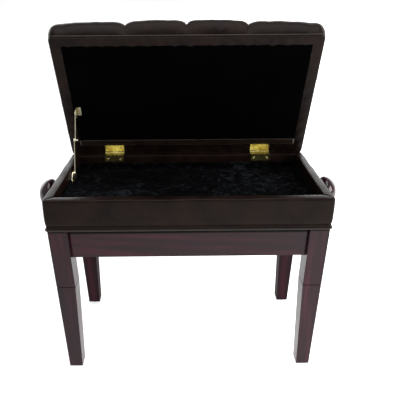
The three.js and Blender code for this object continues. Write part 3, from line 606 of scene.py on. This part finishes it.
def tray():
    """Velvet lining: floor with a coved edge and low walls, their top edges rolled over to the leather."""
    low, high = velvet_low, velvet_high
    centre, (ax, ay) = middle_and_half(low, high)
    floor = low.z + 0.0012
    cove = 0.0056
    rows = [(0.0, high.z - 0.0025), (0.0001, high.z - 0.0008), (0.0007, high.z)]
    rows += [(0.0014, high.z - 0.0006), (0.0015, high.z - 0.003), (0.0015, high.z - 0.006)]
    rows += [(0.0014, floor + 0.0048), (0.0016, floor + 0.0030), (0.0024, floor + 0.0014)]
    rows += [(0.0038, floor + 0.0003), (cove, floor)]
    rings = []
    for inward, z in rows:
        radius = max(0.0012, inward * 0.8)
        flat, out = ring(ax - inward, ay - inward, radius, nx=80, ny=40, nc=4, centre=centre)
        around = np.c_[flat[:, 0] + flat[:, 1], np.full(len(flat), z * 3)]
        ripple = 0.00035 * smooth_noise(around, 5, 0.035) * (z < high.z - 0.002)
        rings.append(np.c_[flat - out * np.abs(ripple)[:, None], np.full(len(flat), z)])
    walls = loft(rings, caps=False)
    overlap = 0.0001  # the floor reaches this far under the cove, and lies as much below it
    grid, edge, quads = flat_grid(centre, np.array((ax, ay)) - cove + overlap, 120, 56)
    wobble = 0.0009 * smooth_noise(grid, 21, 0.05) + 0.0005 * smooth_noise(grid, 22, 0.022)
    heights = floor - overlap + np.clip(wobble + 0.0007, 0, 0.0025) * np.clip(edge / 0.012, 0, 1)
    verts, faces = merged([walls, (np.c_[grid, heights], quads)])
    obj = piece("tray_velvet", verts, faces, VELVET, "seat_box", "velvet")
    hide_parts("tray_lining")


seat_frame()
PIPE = (welt_high.z - welt_low.z) / 2
box_pipe = (half_x + 0.0004, half_y + 0.0004)
tube_round(
    "seat_box_piping", box_pipe, BOX_CORNER, welt_low.z + PIPE, PIPE - 0.0001,
    "seat_box", box_centre, "box_welt", seed=11,
)
tray()

# ------------------------------------------------------------------ lid, drawn closed and turned open
board_low, board_high = closed_span("lid_board")
panel_low, panel_high = closed_span("dust_panel")
cushion_low, cushion_high = closed_span("seat_cushion")
lid_centre, (lid_x, lid_y) = middle_and_half(board_low, board_high)
under, over = board_low[2], board_high[2]
BORDER = 0.028  # the leather border under the lid reaches this far in
LID_CORNER = 0.008  # corner radius


def lid_board():
    """Leather over the board: a section of (distance in from the edge, height) swept round and capped."""
    edge = 0.0018
    section = [(0.060, under + 0.0004), (0.030, under + 0.0003)]
    section += [(inward, under) for inward in np.arange(0.026, 0.005, -0.0025)]
    for i in range(6):
        a = math.pi / 2 * i / 5
        section.append((edge - edge * math.sin(a), under + edge - edge * math.cos(a)))
    section += [(0.0, over - 0.0025), (0.0003, over - 0.0006), (0.004, over - 0.0001), (0.05, over - 0.0001)]
    rings = []
    for inward, z in section:
        radius = max(LID_CORNER - 0.5 * inward, 0.0008)
        flat, out = ring(lid_x - inward, lid_y - inward, radius, nx=150, ny=76, nc=8, centre=lid_centre)
        x, y = (flat - lid_centre).T
        at_end = np.abs(out[:, 0]) > np.abs(out[:, 1])
        along = np.where(at_end, y, x)
        from_corner = np.where(at_end, lid_y, lid_x) - np.abs(along)
        near = np.exp(-np.clip(from_corner, 0, None) / 0.028)
        on_border = 1.0 if z < under + 0.0015 and inward < BORDER else 0.0
        puff = 0.0004 * math.sin(math.pi * min(inward / 0.023, 1)) * on_border
        fan = 0.0009 * near * np.sin(2 * math.pi * (from_corner + 0.35 * inward) / 0.0085) * on_border
        waves = 0.00034 * smooth_noise(np.c_[along, np.full(len(flat), inward)], 17, 0.02) * on_border
        rings.append(np.c_[flat, z - puff - np.clip(fan, -0.0006, 0.0006) + waves])
    verts, faces = loft(rings)
    obj = piece("lid_board_leather", to_lid(verts), faces, LEATHER, "lid", "leather")
    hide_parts("lid_board")


def dust_cloth():
    """Thin cloth tacked under the lid, with a hem round its edge and a little slack."""
    centre, (ax, ay) = middle_and_half(panel_low, panel_high)
    flat, edge, quads = flat_grid(centre, np.array((ax, ay)), 110, 54)
    hem = np.exp(-((edge - 0.004) / 0.0022) ** 2) * 0.0004
    slack = 0.00035 * smooth_noise(flat, 31, 0.09) * np.clip(edge / 0.03, 0, 1)
    z = panel_high[2] - 0.0006 - hem - slack + 0.0006 * np.exp(-edge / 0.0012)
    facing_down = [quad[:1] + quad[:0:-1] for quad in quads]
    obj = piece("lid_dust_cloth", to_lid(np.c_[flat, z]), facing_down, CLOTH, "lid", "dust_cloth")
    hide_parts("dust_panel")


def rear_strip():
    """A folded strip of leather tacked over the rear hem of the dust cloth."""
    wide, thick = 0.0150, 0.0008
    rows = [(0.0, 0.0002), (0.0002, thick), (0.0012, thick + 0.0004), (0.0035, thick + 0.0002)]
    rows += [(wide * 0.5, thick), (wide - 0.0030, thick + 0.0002), (wide - 0.0010, thick), (wide, 0.0002)]
    rear, top = panel_high[1] + 0.0012, panel_high[2]
    rings = []
    for x in np.linspace(panel_low[0] + 0.0006, panel_high[0] - 0.0006, 140):
        wave = 0.00018 * smooth_noise(np.array([[x, 0.0]]), 51, 0.03)[0]
        outer = [(x, rear - w, top - 0.0006 - t + wave) for w, t in rows]
        inner = [(x, rear - w, top + 0.0004) for w in (wide, wide * 0.5, 0.0)]
        rings.append(np.array(outer + inner))
    verts, faces = loft(rings)
    piece("lid_rear_strip", to_lid(verts), faces, PIPING, "lid", "leather")


def lid_stitches():
    """A row of thread stitches round the lid's edge, each a small capsule lying along it."""
    pitch, length, radius = 0.0055, 0.0034, 0.0005
    flat, _ = ring(lid_x + 0.0002, lid_y + 0.0002, LID_CORNER, nx=400, ny=200, nc=12, centre=lid_centre)
    steps = distance_round(flat)
    up = np.array((0, 0, 1))
    parts = []
    for s in np.arange(pitch / 2, steps[-1], pitch):
        p, q = (np.array([np.interp(at, steps, flat[:, k]) for k in (0, 1)]) for at in (s, s + 0.001))
        direction = (q - p) / np.linalg.norm(q - p)
        side = np.r_[direction[1], -direction[0], 0]
        rows = []
        for t, share in ((-0.5, 0.35), (-0.38, 0.85), (0, 1), (0.38, 0.85), (0.5, 0.35)):
            middle = np.r_[p + direction * t * length, over - 0.0034]
            spokes = [side * math.cos(a) + up * math.sin(a) for a in np.arange(6) * math.pi / 3]
            rows.append(middle + radius * share * np.array(spokes))
        parts.append(loft(rows))
    verts, faces = merged(parts)
    piece("lid_edge_stitches", to_lid(verts), faces, STITCH, "lid", "leather")


lid_board()
dust_cloth()
rear_strip()
lid_pipe = (lid_x + 0.0006, lid_y + 0.0006)
tube_round("lid_piping", lid_pipe, LID_CORNER, over + 0.0001, 0.0021, "lid", lid_centre, "lid_welt", seed=13)
lid_stitches()

# ------------------------------------------------------------------ tufted cushion
# The cushion is made round the middle of the lid's top face, and moved to its place at the end.
cushion_foot = cushion_low[2]
button_nodes = sorted(n for n in frame["nodes"] if n.startswith("button_"))
button_spans = [closed_span(n) for n in button_nodes]
BUTTON_XY = np.array([middle_and_half(low, high)[0] - lid_centre for low, high in button_spans])
BUTTON_Z = button_spans[0][0][2]
BUTTON_R = (button_spans[0][1][0] - button_spans[0][0][0]) / 2
SINK = cushion_high[2] - BUTTON_Z
front_row = [b for b in BUTTON_XY if b[1] < -0.01]
middle_row = [b for b in BUTTON_XY if abs(b[1]) < 0.01]
rear_row = [b for b in BUTTON_XY if b[1] > 0.01]
links = []
for b in front_row + rear_row:
    links += [(b, m) for m in sorted(middle_row, key=lambda m: abs(m[0] - b[0]))[:2]]
PAST_EDGE = 0.05
edge_links = [(b, (b[0], -lid_y - PAST_EDGE)) for b in front_row]
edge_links += [(b, (b[0], lid_y + PAST_EDGE)) for b in rear_row]
left_button, right_button = (pick(middle_row, key=lambda m: m[0]) for pick in (min, max))
edge_links.append((left_button, (-lid_x - PAST_EDGE, left_button[1])))
edge_links.append((right_button, (lid_x + PAST_EDGE, right_button[1])))


def segment_distance(p, a, b):
    a, b = np.array(a, float), np.array(b, float)
    t = np.clip(((p - a) @ (b - a)) / ((b - a) @ (b - a)), 0, 1)
    return np.linalg.norm(p - (a + t[:, None] * (b - a)), axis=1)


def pleat_distances(p):
    """Distance of each point from the pleats between buttons, the pleats to the edge and the buttons."""
    between = np.min([segment_distance(p, a, b) for a, b in links], axis=0)
    to_edge = np.min([segment_distance(p, a, b) for a, b in edge_links], axis=0)
    return between, to_edge, np.min([np.linalg.norm(p - b, axis=1) for b in BUTTON_XY], axis=0)


def pillow(d, reach):
    return np.clip(1 - d / reach, 0, 1) ** 2


EDGE_RINGS = [  # the cushion's side from foot to shoulder: distance out from the board's edge, height
    (-0.0010, 0.0000), (0.0012, 0.0022), (0.0036, 0.0062), (0.0062, 0.0120), (0.0082, 0.0195),
    (0.0090, 0.0270), (0.0084, 0.0345), (0.0062, 0.0415), (0.0022, 0.0480), (-0.0038, 0.0538),
    (-0.0112, 0.0582),
]
TOP_IN, TOP_Z, TOP_R = 0.0195, 0.0612, 0.036  # inset, height and corner radius of the top
CELL = 0.0052  # size of the mesh's cells
CORNER = 0.016  # corner radius of the foot
FULL_AT = (-0.28, -0.18, -0.06, 0.06, 0.18, 0.28)  # the front of the pad is fuller than its other sides
FRONT_FULLNESS = (0.0050, 0.0050, 0.0085, 0.0085, 0.0040, 0.0030)
FRONT_DOME = 0.0026
SEAM_PITCH = abs(front_row[1][0] - front_row[0][0])


def rounded(x, y, flat_half, r, new_half, new_r):
    """Moves points of a rectangle of half size flat_half to one of new_half with corners of radius new_r."""
    s, t = (np.clip((np.abs(v) - (h - r)) / r, 0, 1) for v, h in zip((x, y), flat_half))
    moved = []
    for v, h, new_h, own, other in zip((x, y), flat_half, new_half, (s, t), (t, s)):
        corner = (new_h - new_r) + new_r * own * np.sqrt(1 - other * other / 2)
        straight = np.abs(v) / (h - r) * (new_h - new_r)
        moved.append(np.sign(v) * np.where(own > 0, corner, straight))
    return np.c_[moved[0], moved[1]]


def grid_axis(half, r):
    """Places along one side of the top, with even cells between the corners and 7 in each corner."""
    cells = round(2 * (half - r) / CELL / 2) * 2
    ends = np.linspace(half - r, half, 8)
    return np.concatenate([-ends[::-1], np.linspace(-(half - r), half - r, cells + 1)[1:-1], ends])


def fuller_front(verts):
    """Pushes the front side out, between the pleats more than at them."""
    depth = 0.040
    front = np.clip((-verts[:, 1] - (lid_y - depth)) / depth, 0, 1) ** 0.7
    inside = np.clip((lid_x + 0.004 - np.abs(verts[:, 0])) / 0.050, 0, 1) ** 0.6
    rise = np.sin(math.pi * np.clip(verts[:, 2] / 0.066, 0, 1)) ** 0.8
    full = np.interp(verts[:, 0], FULL_AT, FRONT_FULLNESS)
    dome = FRONT_DOME * np.abs(np.sin(math.pi * verts[:, 0] / SEAM_PITCH)) ** 0.6
    verts[:, 1] -= (full + dome) * front * inside * rise


def cushion_base():
    """A closed cushion of quads: a grid on top, rings up the rounded side and a grid underneath."""
    half = (lid_x - TOP_IN, lid_y - TOP_IN)
    gx, gy = grid_axis(half[0], TOP_R), grid_axis(half[1], TOP_R)
    nx, ny = len(gx), len(gy)
    X, Y = (v.ravel() for v in np.meshgrid(gx, gy))

    def placed(which, out, r):
        return rounded(X[which], Y[which], half, TOP_R, (lid_x + out, lid_y + out), r)

    everything = slice(None)
    inset = np.clip(np.minimum(half[0] - np.abs(X), half[1] - np.abs(Y)) / 0.05, 0, 1)
    top = np.c_[placed(everything, -TOP_IN, TOP_R), TOP_Z + 0.0024 * (1 - (1 - inset) ** 2)]
    index = np.arange(nx * ny).reshape(ny, nx)
    border = np.concatenate([index[0, :-1], index[:-1, -1], index[-1, :0:-1], index[:0:-1, 0]])
    count = len(border)
    rings = []
    for out, z in EDGE_RINGS:
        r = CORNER + (0.5 * out if out > 0 else -0.9 * out)
        rings.append(np.c_[placed(border, out, r), np.full(count, z)])
    bottom = np.c_[placed(everything, -0.004, CORNER), np.zeros(nx * ny)]
    verts = np.concatenate([top] + rings + [bottom])
    fuller_front(verts)

    first_ring = nx * ny
    first_under = first_ring + count * len(rings)
    faces = []
    for j in range(ny - 1):
        for i in range(nx - 1):
            quad = (index[j, i], index[j, i + 1], index[j + 1, i + 1], index[j + 1, i])
            faces.append(quad)
            faces.append(tuple(first_under + k for k in quad[::-1]))
    loops = [first_ring + k * count + np.arange(count) for k in range(len(rings))] + [border]
    for lower, upper in list(zip(loops, loops[1:])) + [(first_under + border, loops[0])]:
        for i in range(count):
            j = (i + 1) % count
            faces.append((lower[i], lower[j], upper[j], upper[i]))
    return verts, faces


def carve(verts, normals):
    """Moves points inwards along their normals into the pleats and the button pits."""
    between, to_edge, button = pleat_distances(verts[:, :2])
    height = np.clip(verts[:, 2] / TOP_Z, 0, 1)
    line_depth, line_reach = 0.0120, 0.040
    edge_depth, edge_reach = 0.0050, 0.024
    pit_depth, pit_reach = SINK - 0.001, 0.018
    lines = line_depth * pillow(between, line_reach)
    edges = edge_depth * pillow(to_edge, edge_reach) * (0.25 + 0.75 * height ** 1.2)
    pits = pit_depth * np.exp(-(np.clip(button - BUTTON_R * 0.6, 0, None) / pit_reach) ** 1.5)
    power = 3.0
    drop = (lines ** power + edges ** power + pits ** power) ** (1 / power)
    drop *= np.clip(verts[:, 2] / 0.006, 0, 1)
    return verts - normals * drop[:, None]


def read(mesh, what):
    """The coordinates ("co") or normals ("normal") of a mesh's points."""
    out = np.zeros(len(mesh.vertices) * 3)
    mesh.vertices.foreach_get(what, out)
    return out.reshape(-1, 3)


def write(mesh, verts):
    mesh.vertices.foreach_set("co", verts.ravel())
    mesh.update()


def inflate(obj, pinned):
    """Cloth under pressure with its seams held; no point moves more than the cap."""
    frames = 20
    cap = 0.022
    group = obj.vertex_groups.new(name="held")
    for i in np.nonzero(pinned > 0.02)[0]:
        group.add([int(i)], float(min(pinned[i], 1)), "REPLACE")
    start = read(obj.data, "co")
    cloth = obj.modifiers.new("cloth", "CLOTH")
    s = cloth.settings
    s.quality = 6
    s.mass = 0.25
    s.tension_stiffness = 30
    s.compression_stiffness = 30
    s.shear_stiffness = 12
    s.bending_stiffness = 1.2
    s.tension_damping = 12
    s.use_pressure = True
    s.uniform_pressure_force = 4.0
    s.shrink_min = -0.02
    s.vertex_group_mass = "held"
    s.pin_stiffness = 1.0
    s.effector_weights.gravity = 0.0
    cloth.point_cache.frame_start = 1
    cloth.point_cache.frame_end = frames
    scene = bpy.context.scene
    for f in range(1, frames + 1):
        scene.frame_set(f)
    graph = bpy.context.evaluated_depsgraph_get()
    step = read(obj.evaluated_get(graph).data, "co") - start
    obj.modifiers.remove(cloth)
    scene.frame_set(1)
    size = np.linalg.norm(step, axis=1, keepdims=True)
    step *= np.minimum(1, cap / np.maximum(size, 1e-9))
    write(obj.data, start + step)


def seams_held(verts):
    """How firmly each point is held while the pad fills: 1 at the buttons and the foot, less at the pleats."""
    between, to_edge, button = pleat_distances(verts[:, :2])
    held = np.exp(-((button / 0.013) ** 4))
    held = np.maximum(held, 0.75 * np.exp(-((between / 0.004) ** 2)))
    held = np.maximum(held, 0.75 * np.exp(-((to_edge / 0.004) ** 2)))
    held = np.where(verts[:, 2] < 0.004, 1.0, held)
    front_side = (verts[:, 1] < 0.004 - lid_y) & (verts[:, 2] < 0.052)
    return np.maximum(held, 0.7 * front_side)


def fine_folds(verts, normals):
    """Sharp pleats, gathers round the buttons and a soft unevenness."""
    between, to_edge, button = pleat_distances(verts[:, :2])
    above = np.clip(verts[:, 2] / 0.004, 0, 1) * (normals[:, 2] > -0.5)
    clear = np.clip((button - BUTTON_R) / 0.006, 0, 1)
    pleat = 0.0022 * np.exp(-np.minimum(between, to_edge) / 0.0022) * clear
    pleat += 0.0018 * np.exp(-to_edge / 0.0016) * (verts[:, 1] < 0)
    nearest = np.argmin([np.linalg.norm(verts[:, :2] - b, axis=1) for b in BUTTON_XY], axis=0)
    away = verts[:, :2] - BUTTON_XY[nearest]
    angle = np.arctan2(away[:, 1], away[:, 0])
    gathers = 0.0007 * np.sin(11 * angle + nearest) * np.exp(-((button - 0.017) / 0.009) ** 2)
    soft = 0.00035 * smooth_noise(verts[:, :2] + verts[:, 2:3] * 0.7, 41, 0.045)
    return verts - normals * ((pleat + gathers + soft) * above)[:, None]


def cushion():
    verts, faces = cushion_base()
    obj = piece("cushion_tufted", verts, faces, LEATHER, None, "leather")
    verts = carve(verts, read(obj.data, "normal"))
    write(obj.data, verts)
    inflate(obj, seams_held(verts))
    mod = obj.modifiers.new("finer", "SUBSURF")
    mod.levels = mod.render_levels = 1
    graph = bpy.context.evaluated_depsgraph_get()
    finer = bpy.data.meshes.new_from_object(obj.evaluated_get(graph))
    obj.modifiers.remove(mod)
    obj.data = finer
    verts = fine_folds(read(finer, "co"), read(finer, "normal"))
    write(finer, to_lid(verts + (*lid_centre, cushion_foot)))
    for polygon in finer.polygons:
        polygon.use_smooth = True
    obj.vertex_groups.clear()
    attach(obj, "lid")
    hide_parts("seat_cushion")


def cushion_buttons():
    """Covered buttons: a low dome of (height, share of the radius) on each button's place."""
    dome = [(0.0, 0.0), (0.0, 0.80), (0.0006, 0.95), (0.0016, 1.0), (0.0027, 0.95), (0.0038, 0.80)]
    dome += [(0.0046, 0.55), (0.0050, 0.28), (0.0051, 0.0)]
    verts, faces = lathe([(z, share * BUTTON_R) for z, share in dome], 32)
    upright = verts[:, (1, 2, 0)]
    parts = []
    for (low, _), place in zip(button_spans, BUTTON_XY + lid_centre):
        parts.append((to_lid(upright + (*place, low[2])), faces))
    verts, faces = merged(parts)
    obj = piece("cushion_buttons", verts, faces, PIPING, "lid", "leather")
    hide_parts(*button_nodes)


cushion()
cushion_buttons()


# ------------------------------------------------------------------ turned knobs and the threaded screw
def bezier(points, steps):
    """Points along a cubic curve, without its first."""
    p = np.array(points)
    t = np.arange(1, steps + 1)[:, None] / steps
    return (1 - t) ** 3 * p[0] + 3 * t * (1 - t) ** 2 * p[1] + 3 * t * t * (1 - t) * p[2] + t ** 3 * p[3]


def knob(side, sign):
    """A turned knob: a neck and a bulb of two curves, with two fine grooves in its face."""
    low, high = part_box("knob_" + side)
    r = (high.z - low.z) / 2
    start, end = (low.x, high.x) if sign > 0 else (-high.x, -low.x)
    length = end - start
    neck = 0.012
    bulb_back = [(0.10, neck), (0.25, neck + 0.002), (0.16, 0.92 * r), (0.38, r)]
    bulb_front = [(0.38, r), (0.62, r + 0.0005), (1.0, 0.72 * r), (1.0, 0.0)]
    curve = np.concatenate([bezier(bulb_back, 14), bezier(bulb_front, 26)]) * (length, 1)
    curve[-1, 1] = 0.0
    profile = [(0.0002, 0.0), (0.0002, neck), (0.1 * length, neck)] + [tuple(p) for p in curve]
    verts, faces = lathe(profile, 72)
    verts[:, 0] += start
    radius = np.hypot(verts[:, 1], verts[:, 2])
    on_face = verts[:, 0] > start + 0.6 * length
    for groove in (0.30, 0.34):
        verts[:, 0] -= 0.0006 * np.exp(-((radius - groove * r) / 0.0007) ** 2) * on_face
    verts[:, 1] += (low.y + high.y) / 2
    verts[:, 2] += (low.z + high.z) / 2
    if sign < 0:
        verts[:, 0] *= -1
        faces = [f[::-1] for f in faces]
    obj = piece("knob_turned_" + side, verts, faces, MAHOGANY["knob"], "screw", "mahogany")
    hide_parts("knob_" + side)


def thread():
    """The lift's screw: a fine thread, with plain ends where it runs in the bushings."""
    low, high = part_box("lift_screw")
    r = (high.z - low.z) / 2
    y, z = (low.y + high.y) / 2, (low.z + high.z) / 2
    pitch, count, plain_end, depth = 0.0025, 14, 0.03, 0.0005
    a = np.arange(count) * 2 * math.pi / count
    rings = []
    for x in np.arange(low.x, high.x, pitch / 5):
        radius = r - depth + depth * np.cos(2 * math.pi * x / pitch - a)
        if min(x - low.x, high.x - x) < plain_end:
            radius = np.full(count, r - 0.0002)
        rings.append(np.c_[np.full(count, x), y + radius * np.cos(a), z + radius * np.sin(a)])
    verts, faces = loft(rings)
    obj = piece("lift_screw_threaded", verts, faces, STEEL, "screw", "mechanism_steel")
    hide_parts("lift_screw")


knob("left", -1)
knob("right", 1)
thread()


# ------------------------------------------------------------------ screws of hinges, stay and rails
def fasteners():
    hinge_screw, stay_screw, rail_screw = 0.0031, 0.0026, 0.0035  # radii of the heads
    lid_parts, box_parts, base_parts = [], [], []
    turn = 0.3  # each head is turned a little further than the one before
    for side in ("left", "right"):
        low, high = closed_span("hinge_leaf_upper_" + side)
        leaf_low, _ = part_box("hinge_leaf_lower_" + side)
        for share in (0.16, 0.84):
            x = low[0] + share * (high[0] - low[0])
            place = LID @ Vector((x, low[1] + 0.0075, high[2] - 0.0011))
            lid_parts.append(screw_head(place, LID_DOWN, hinge_screw, turn))
            place = (x, leaf_low.y, leaf_low.z + 0.0065)
            box_parts.append(screw_head(place, (0, -1, 0), hinge_screw, turn + 0.5))
            turn += 0.7
    low, high = closed_span("stay_lid_bracket")
    for share in (0.28, 0.72):
        place = LID @ Vector((high[0] - 0.009, low[1] + share * (high[1] - low[1]), high[2] - 0.0015))
        lid_parts.append(screw_head(place, LID_DOWN, stay_screw, turn))
        turn += 0.9
    low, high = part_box("stay_wall_plate")
    for y in (low.y + 0.007, high.y - 0.007):
        place = (low.x + 0.0015, y, low.z + 0.0055)
        box_parts.append(screw_head(place, (1, 0, 0), stay_screw, turn))
        turn += 0.9
    for end, way in (("front", -1), ("rear", 1)):
        low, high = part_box("lower_rail_" + end)
        tip = low.y if way < 0 else high.y
        for x, out in ((low.x, 1), (high.x, -1)):
            for share in (0.3, 0.7):
                place = (x + out * 0.0025, tip - way * 0.008, low.z + share * (high.z - low.z))
                base_parts.append(screw_head(place, (out, 0, 0), rail_screw, turn))
                turn += 0.9
    piece("lid_screws", *merged(lid_parts), BRASS, "lid", "brass")
    piece("box_screws", *merged(box_parts), BRASS, "seat_box", "brass")
    piece("rail_screws", *merged(base_parts), STEEL, "base", "mechanism_steel")


fasteners()


# ------------------------------------------------------------------ floor, light and camera
def floor():
    """A pale floor that glows a little more towards the right, where the photo's light is stronger."""
    glow_left, glow_right = 0.42, 1.30
    half = 40.0
    n = Nodes("studio_floor")
    across = n.new("ShaderNodeSeparateXYZ")
    n.link(n.coords, across.inputs[0])
    n.set(
        Base_Color=n.ramp(n.noise(scale=3, detail=2), [(0.3, (0.80, 0.80, 0.80)), (0.7, (0.83, 0.83, 0.83))]),
        Roughness=0.6,
        Specular_IOR_Level=0.3,
        Emission_Color=(1.0, 1.0, 1.0),
        Emission_Strength=n.fit(across.outputs["X"], glow_left, glow_right, from_low=-0.55, from_high=0.75),
    )
    corners = [(-half, -half, 0), (half, -half, 0), (half, half, 0), (-half, half, 0)]
    obj = piece("floor", corners, [(0, 1, 2, 3)], n.mat, None, None)
    obj.location.z = cad_low.z - 0.0004


def area(name, place, target, size, power):
    data = bpy.data.lights.new(name, "AREA")
    data.shape = "RECTANGLE"
    data.size, data.size_y = size
    data.energy = power
    lamp = bpy.data.objects.new(name, data)
    lamp.location = place
    lamp.rotation_euler = (Vector(target) - Vector(place)).to_track_quat("-Z", "Y").to_euler()
    bpy.context.scene.collection.objects.link(lamp)


def world():
    """A soft light from behind, below a height, over a dim light from all round; the camera sees white."""
    all_round, behind, backdrop = 0.42, 2.9, 1.0
    w = bpy.data.worlds.new("studio")
    w.use_nodes = True
    bpy.context.scene.world = w
    tree = w.node_tree
    direction = tree.nodes.new("ShaderNodeSeparateXYZ")
    tree.links.new(tree.nodes.new("ShaderNodeTexCoord").outputs["Generated"], direction.inputs[0])

    def gate(axis, start, end, low, high):
        """Goes smoothly from low to high as the direction's part along the axis goes from start to end."""
        node = tree.nodes.new("ShaderNodeMapRange")
        node.interpolation_type = "SMOOTHSTEP"
        for key, value in (("From Min", start), ("From Max", end), ("To Min", low), ("To Max", high)):
            node.inputs[key].default_value = value
        tree.links.new(direction.outputs[axis], node.inputs["Value"])
        return node.outputs["Result"]

    light = tree.nodes.new("ShaderNodeMath")
    light.operation = "MULTIPLY_ADD"
    tree.links.new(gate("Y", 0.15, 0.75, 0.0, behind), light.inputs[0])
    tree.links.new(gate("Z", 0.34, 0.62, 1.0, 0.0), light.inputs[1])
    light.inputs[2].default_value = all_round
    seen = tree.nodes.new("ShaderNodeMix")
    tree.links.new(tree.nodes.new("ShaderNodeLightPath").outputs["Is Camera Ray"], seen.inputs[0])
    tree.links.new(light.outputs[0], seen.inputs[2])
    seen.inputs[3].default_value = backdrop
    shade = tree.nodes["Background"]
    shade.inputs["Color"].default_value = (1.0, 1.0, 1.0, 1)
    tree.links.new(seen.outputs[0], shade.inputs["Strength"])


def camera():
    eye = Vector((-0.00948, -0.94874, 0.77579))
    pitch, yaw, roll = math.radians(26.724), math.radians(0.289), math.radians(-0.423)
    data = bpy.data.cameras.new("camera")
    data.sensor_width = 36.0
    data.lens = 40.625
    data.shift_x, data.shift_y = 0.035, 0.0466
    data.clip_end = 200
    forward = Vector((math.sin(yaw) * math.cos(pitch), math.cos(yaw) * math.cos(pitch), -math.sin(pitch)))
    right = Vector((math.cos(yaw), -math.sin(yaw), 0))
    up = right.cross(forward)
    across = right * math.cos(roll) + up * math.sin(roll)
    upward = up * math.cos(roll) - right * math.sin(roll)
    turn = Matrix((across, upward, -forward)).transposed()
    obj = bpy.data.objects.new("camera", data)
    obj.matrix_world = Matrix.Translation(eye) @ turn.to_4x4()
    bpy.context.scene.collection.objects.link(obj)
    bpy.context.scene.camera = obj


floor()
world()
area("overhead", place=(0.0, -0.2, 2.4), target=(0, 0, 0.4), size=(2.2, 1.6), power=30)
area("right_side", place=(2.0, -1.0, 1.3), target=(0.5, -0.3, 0.2), size=(1.2, 1.2), power=30)
camera()
bpy.context.scene.view_settings.view_transform = "Standard"
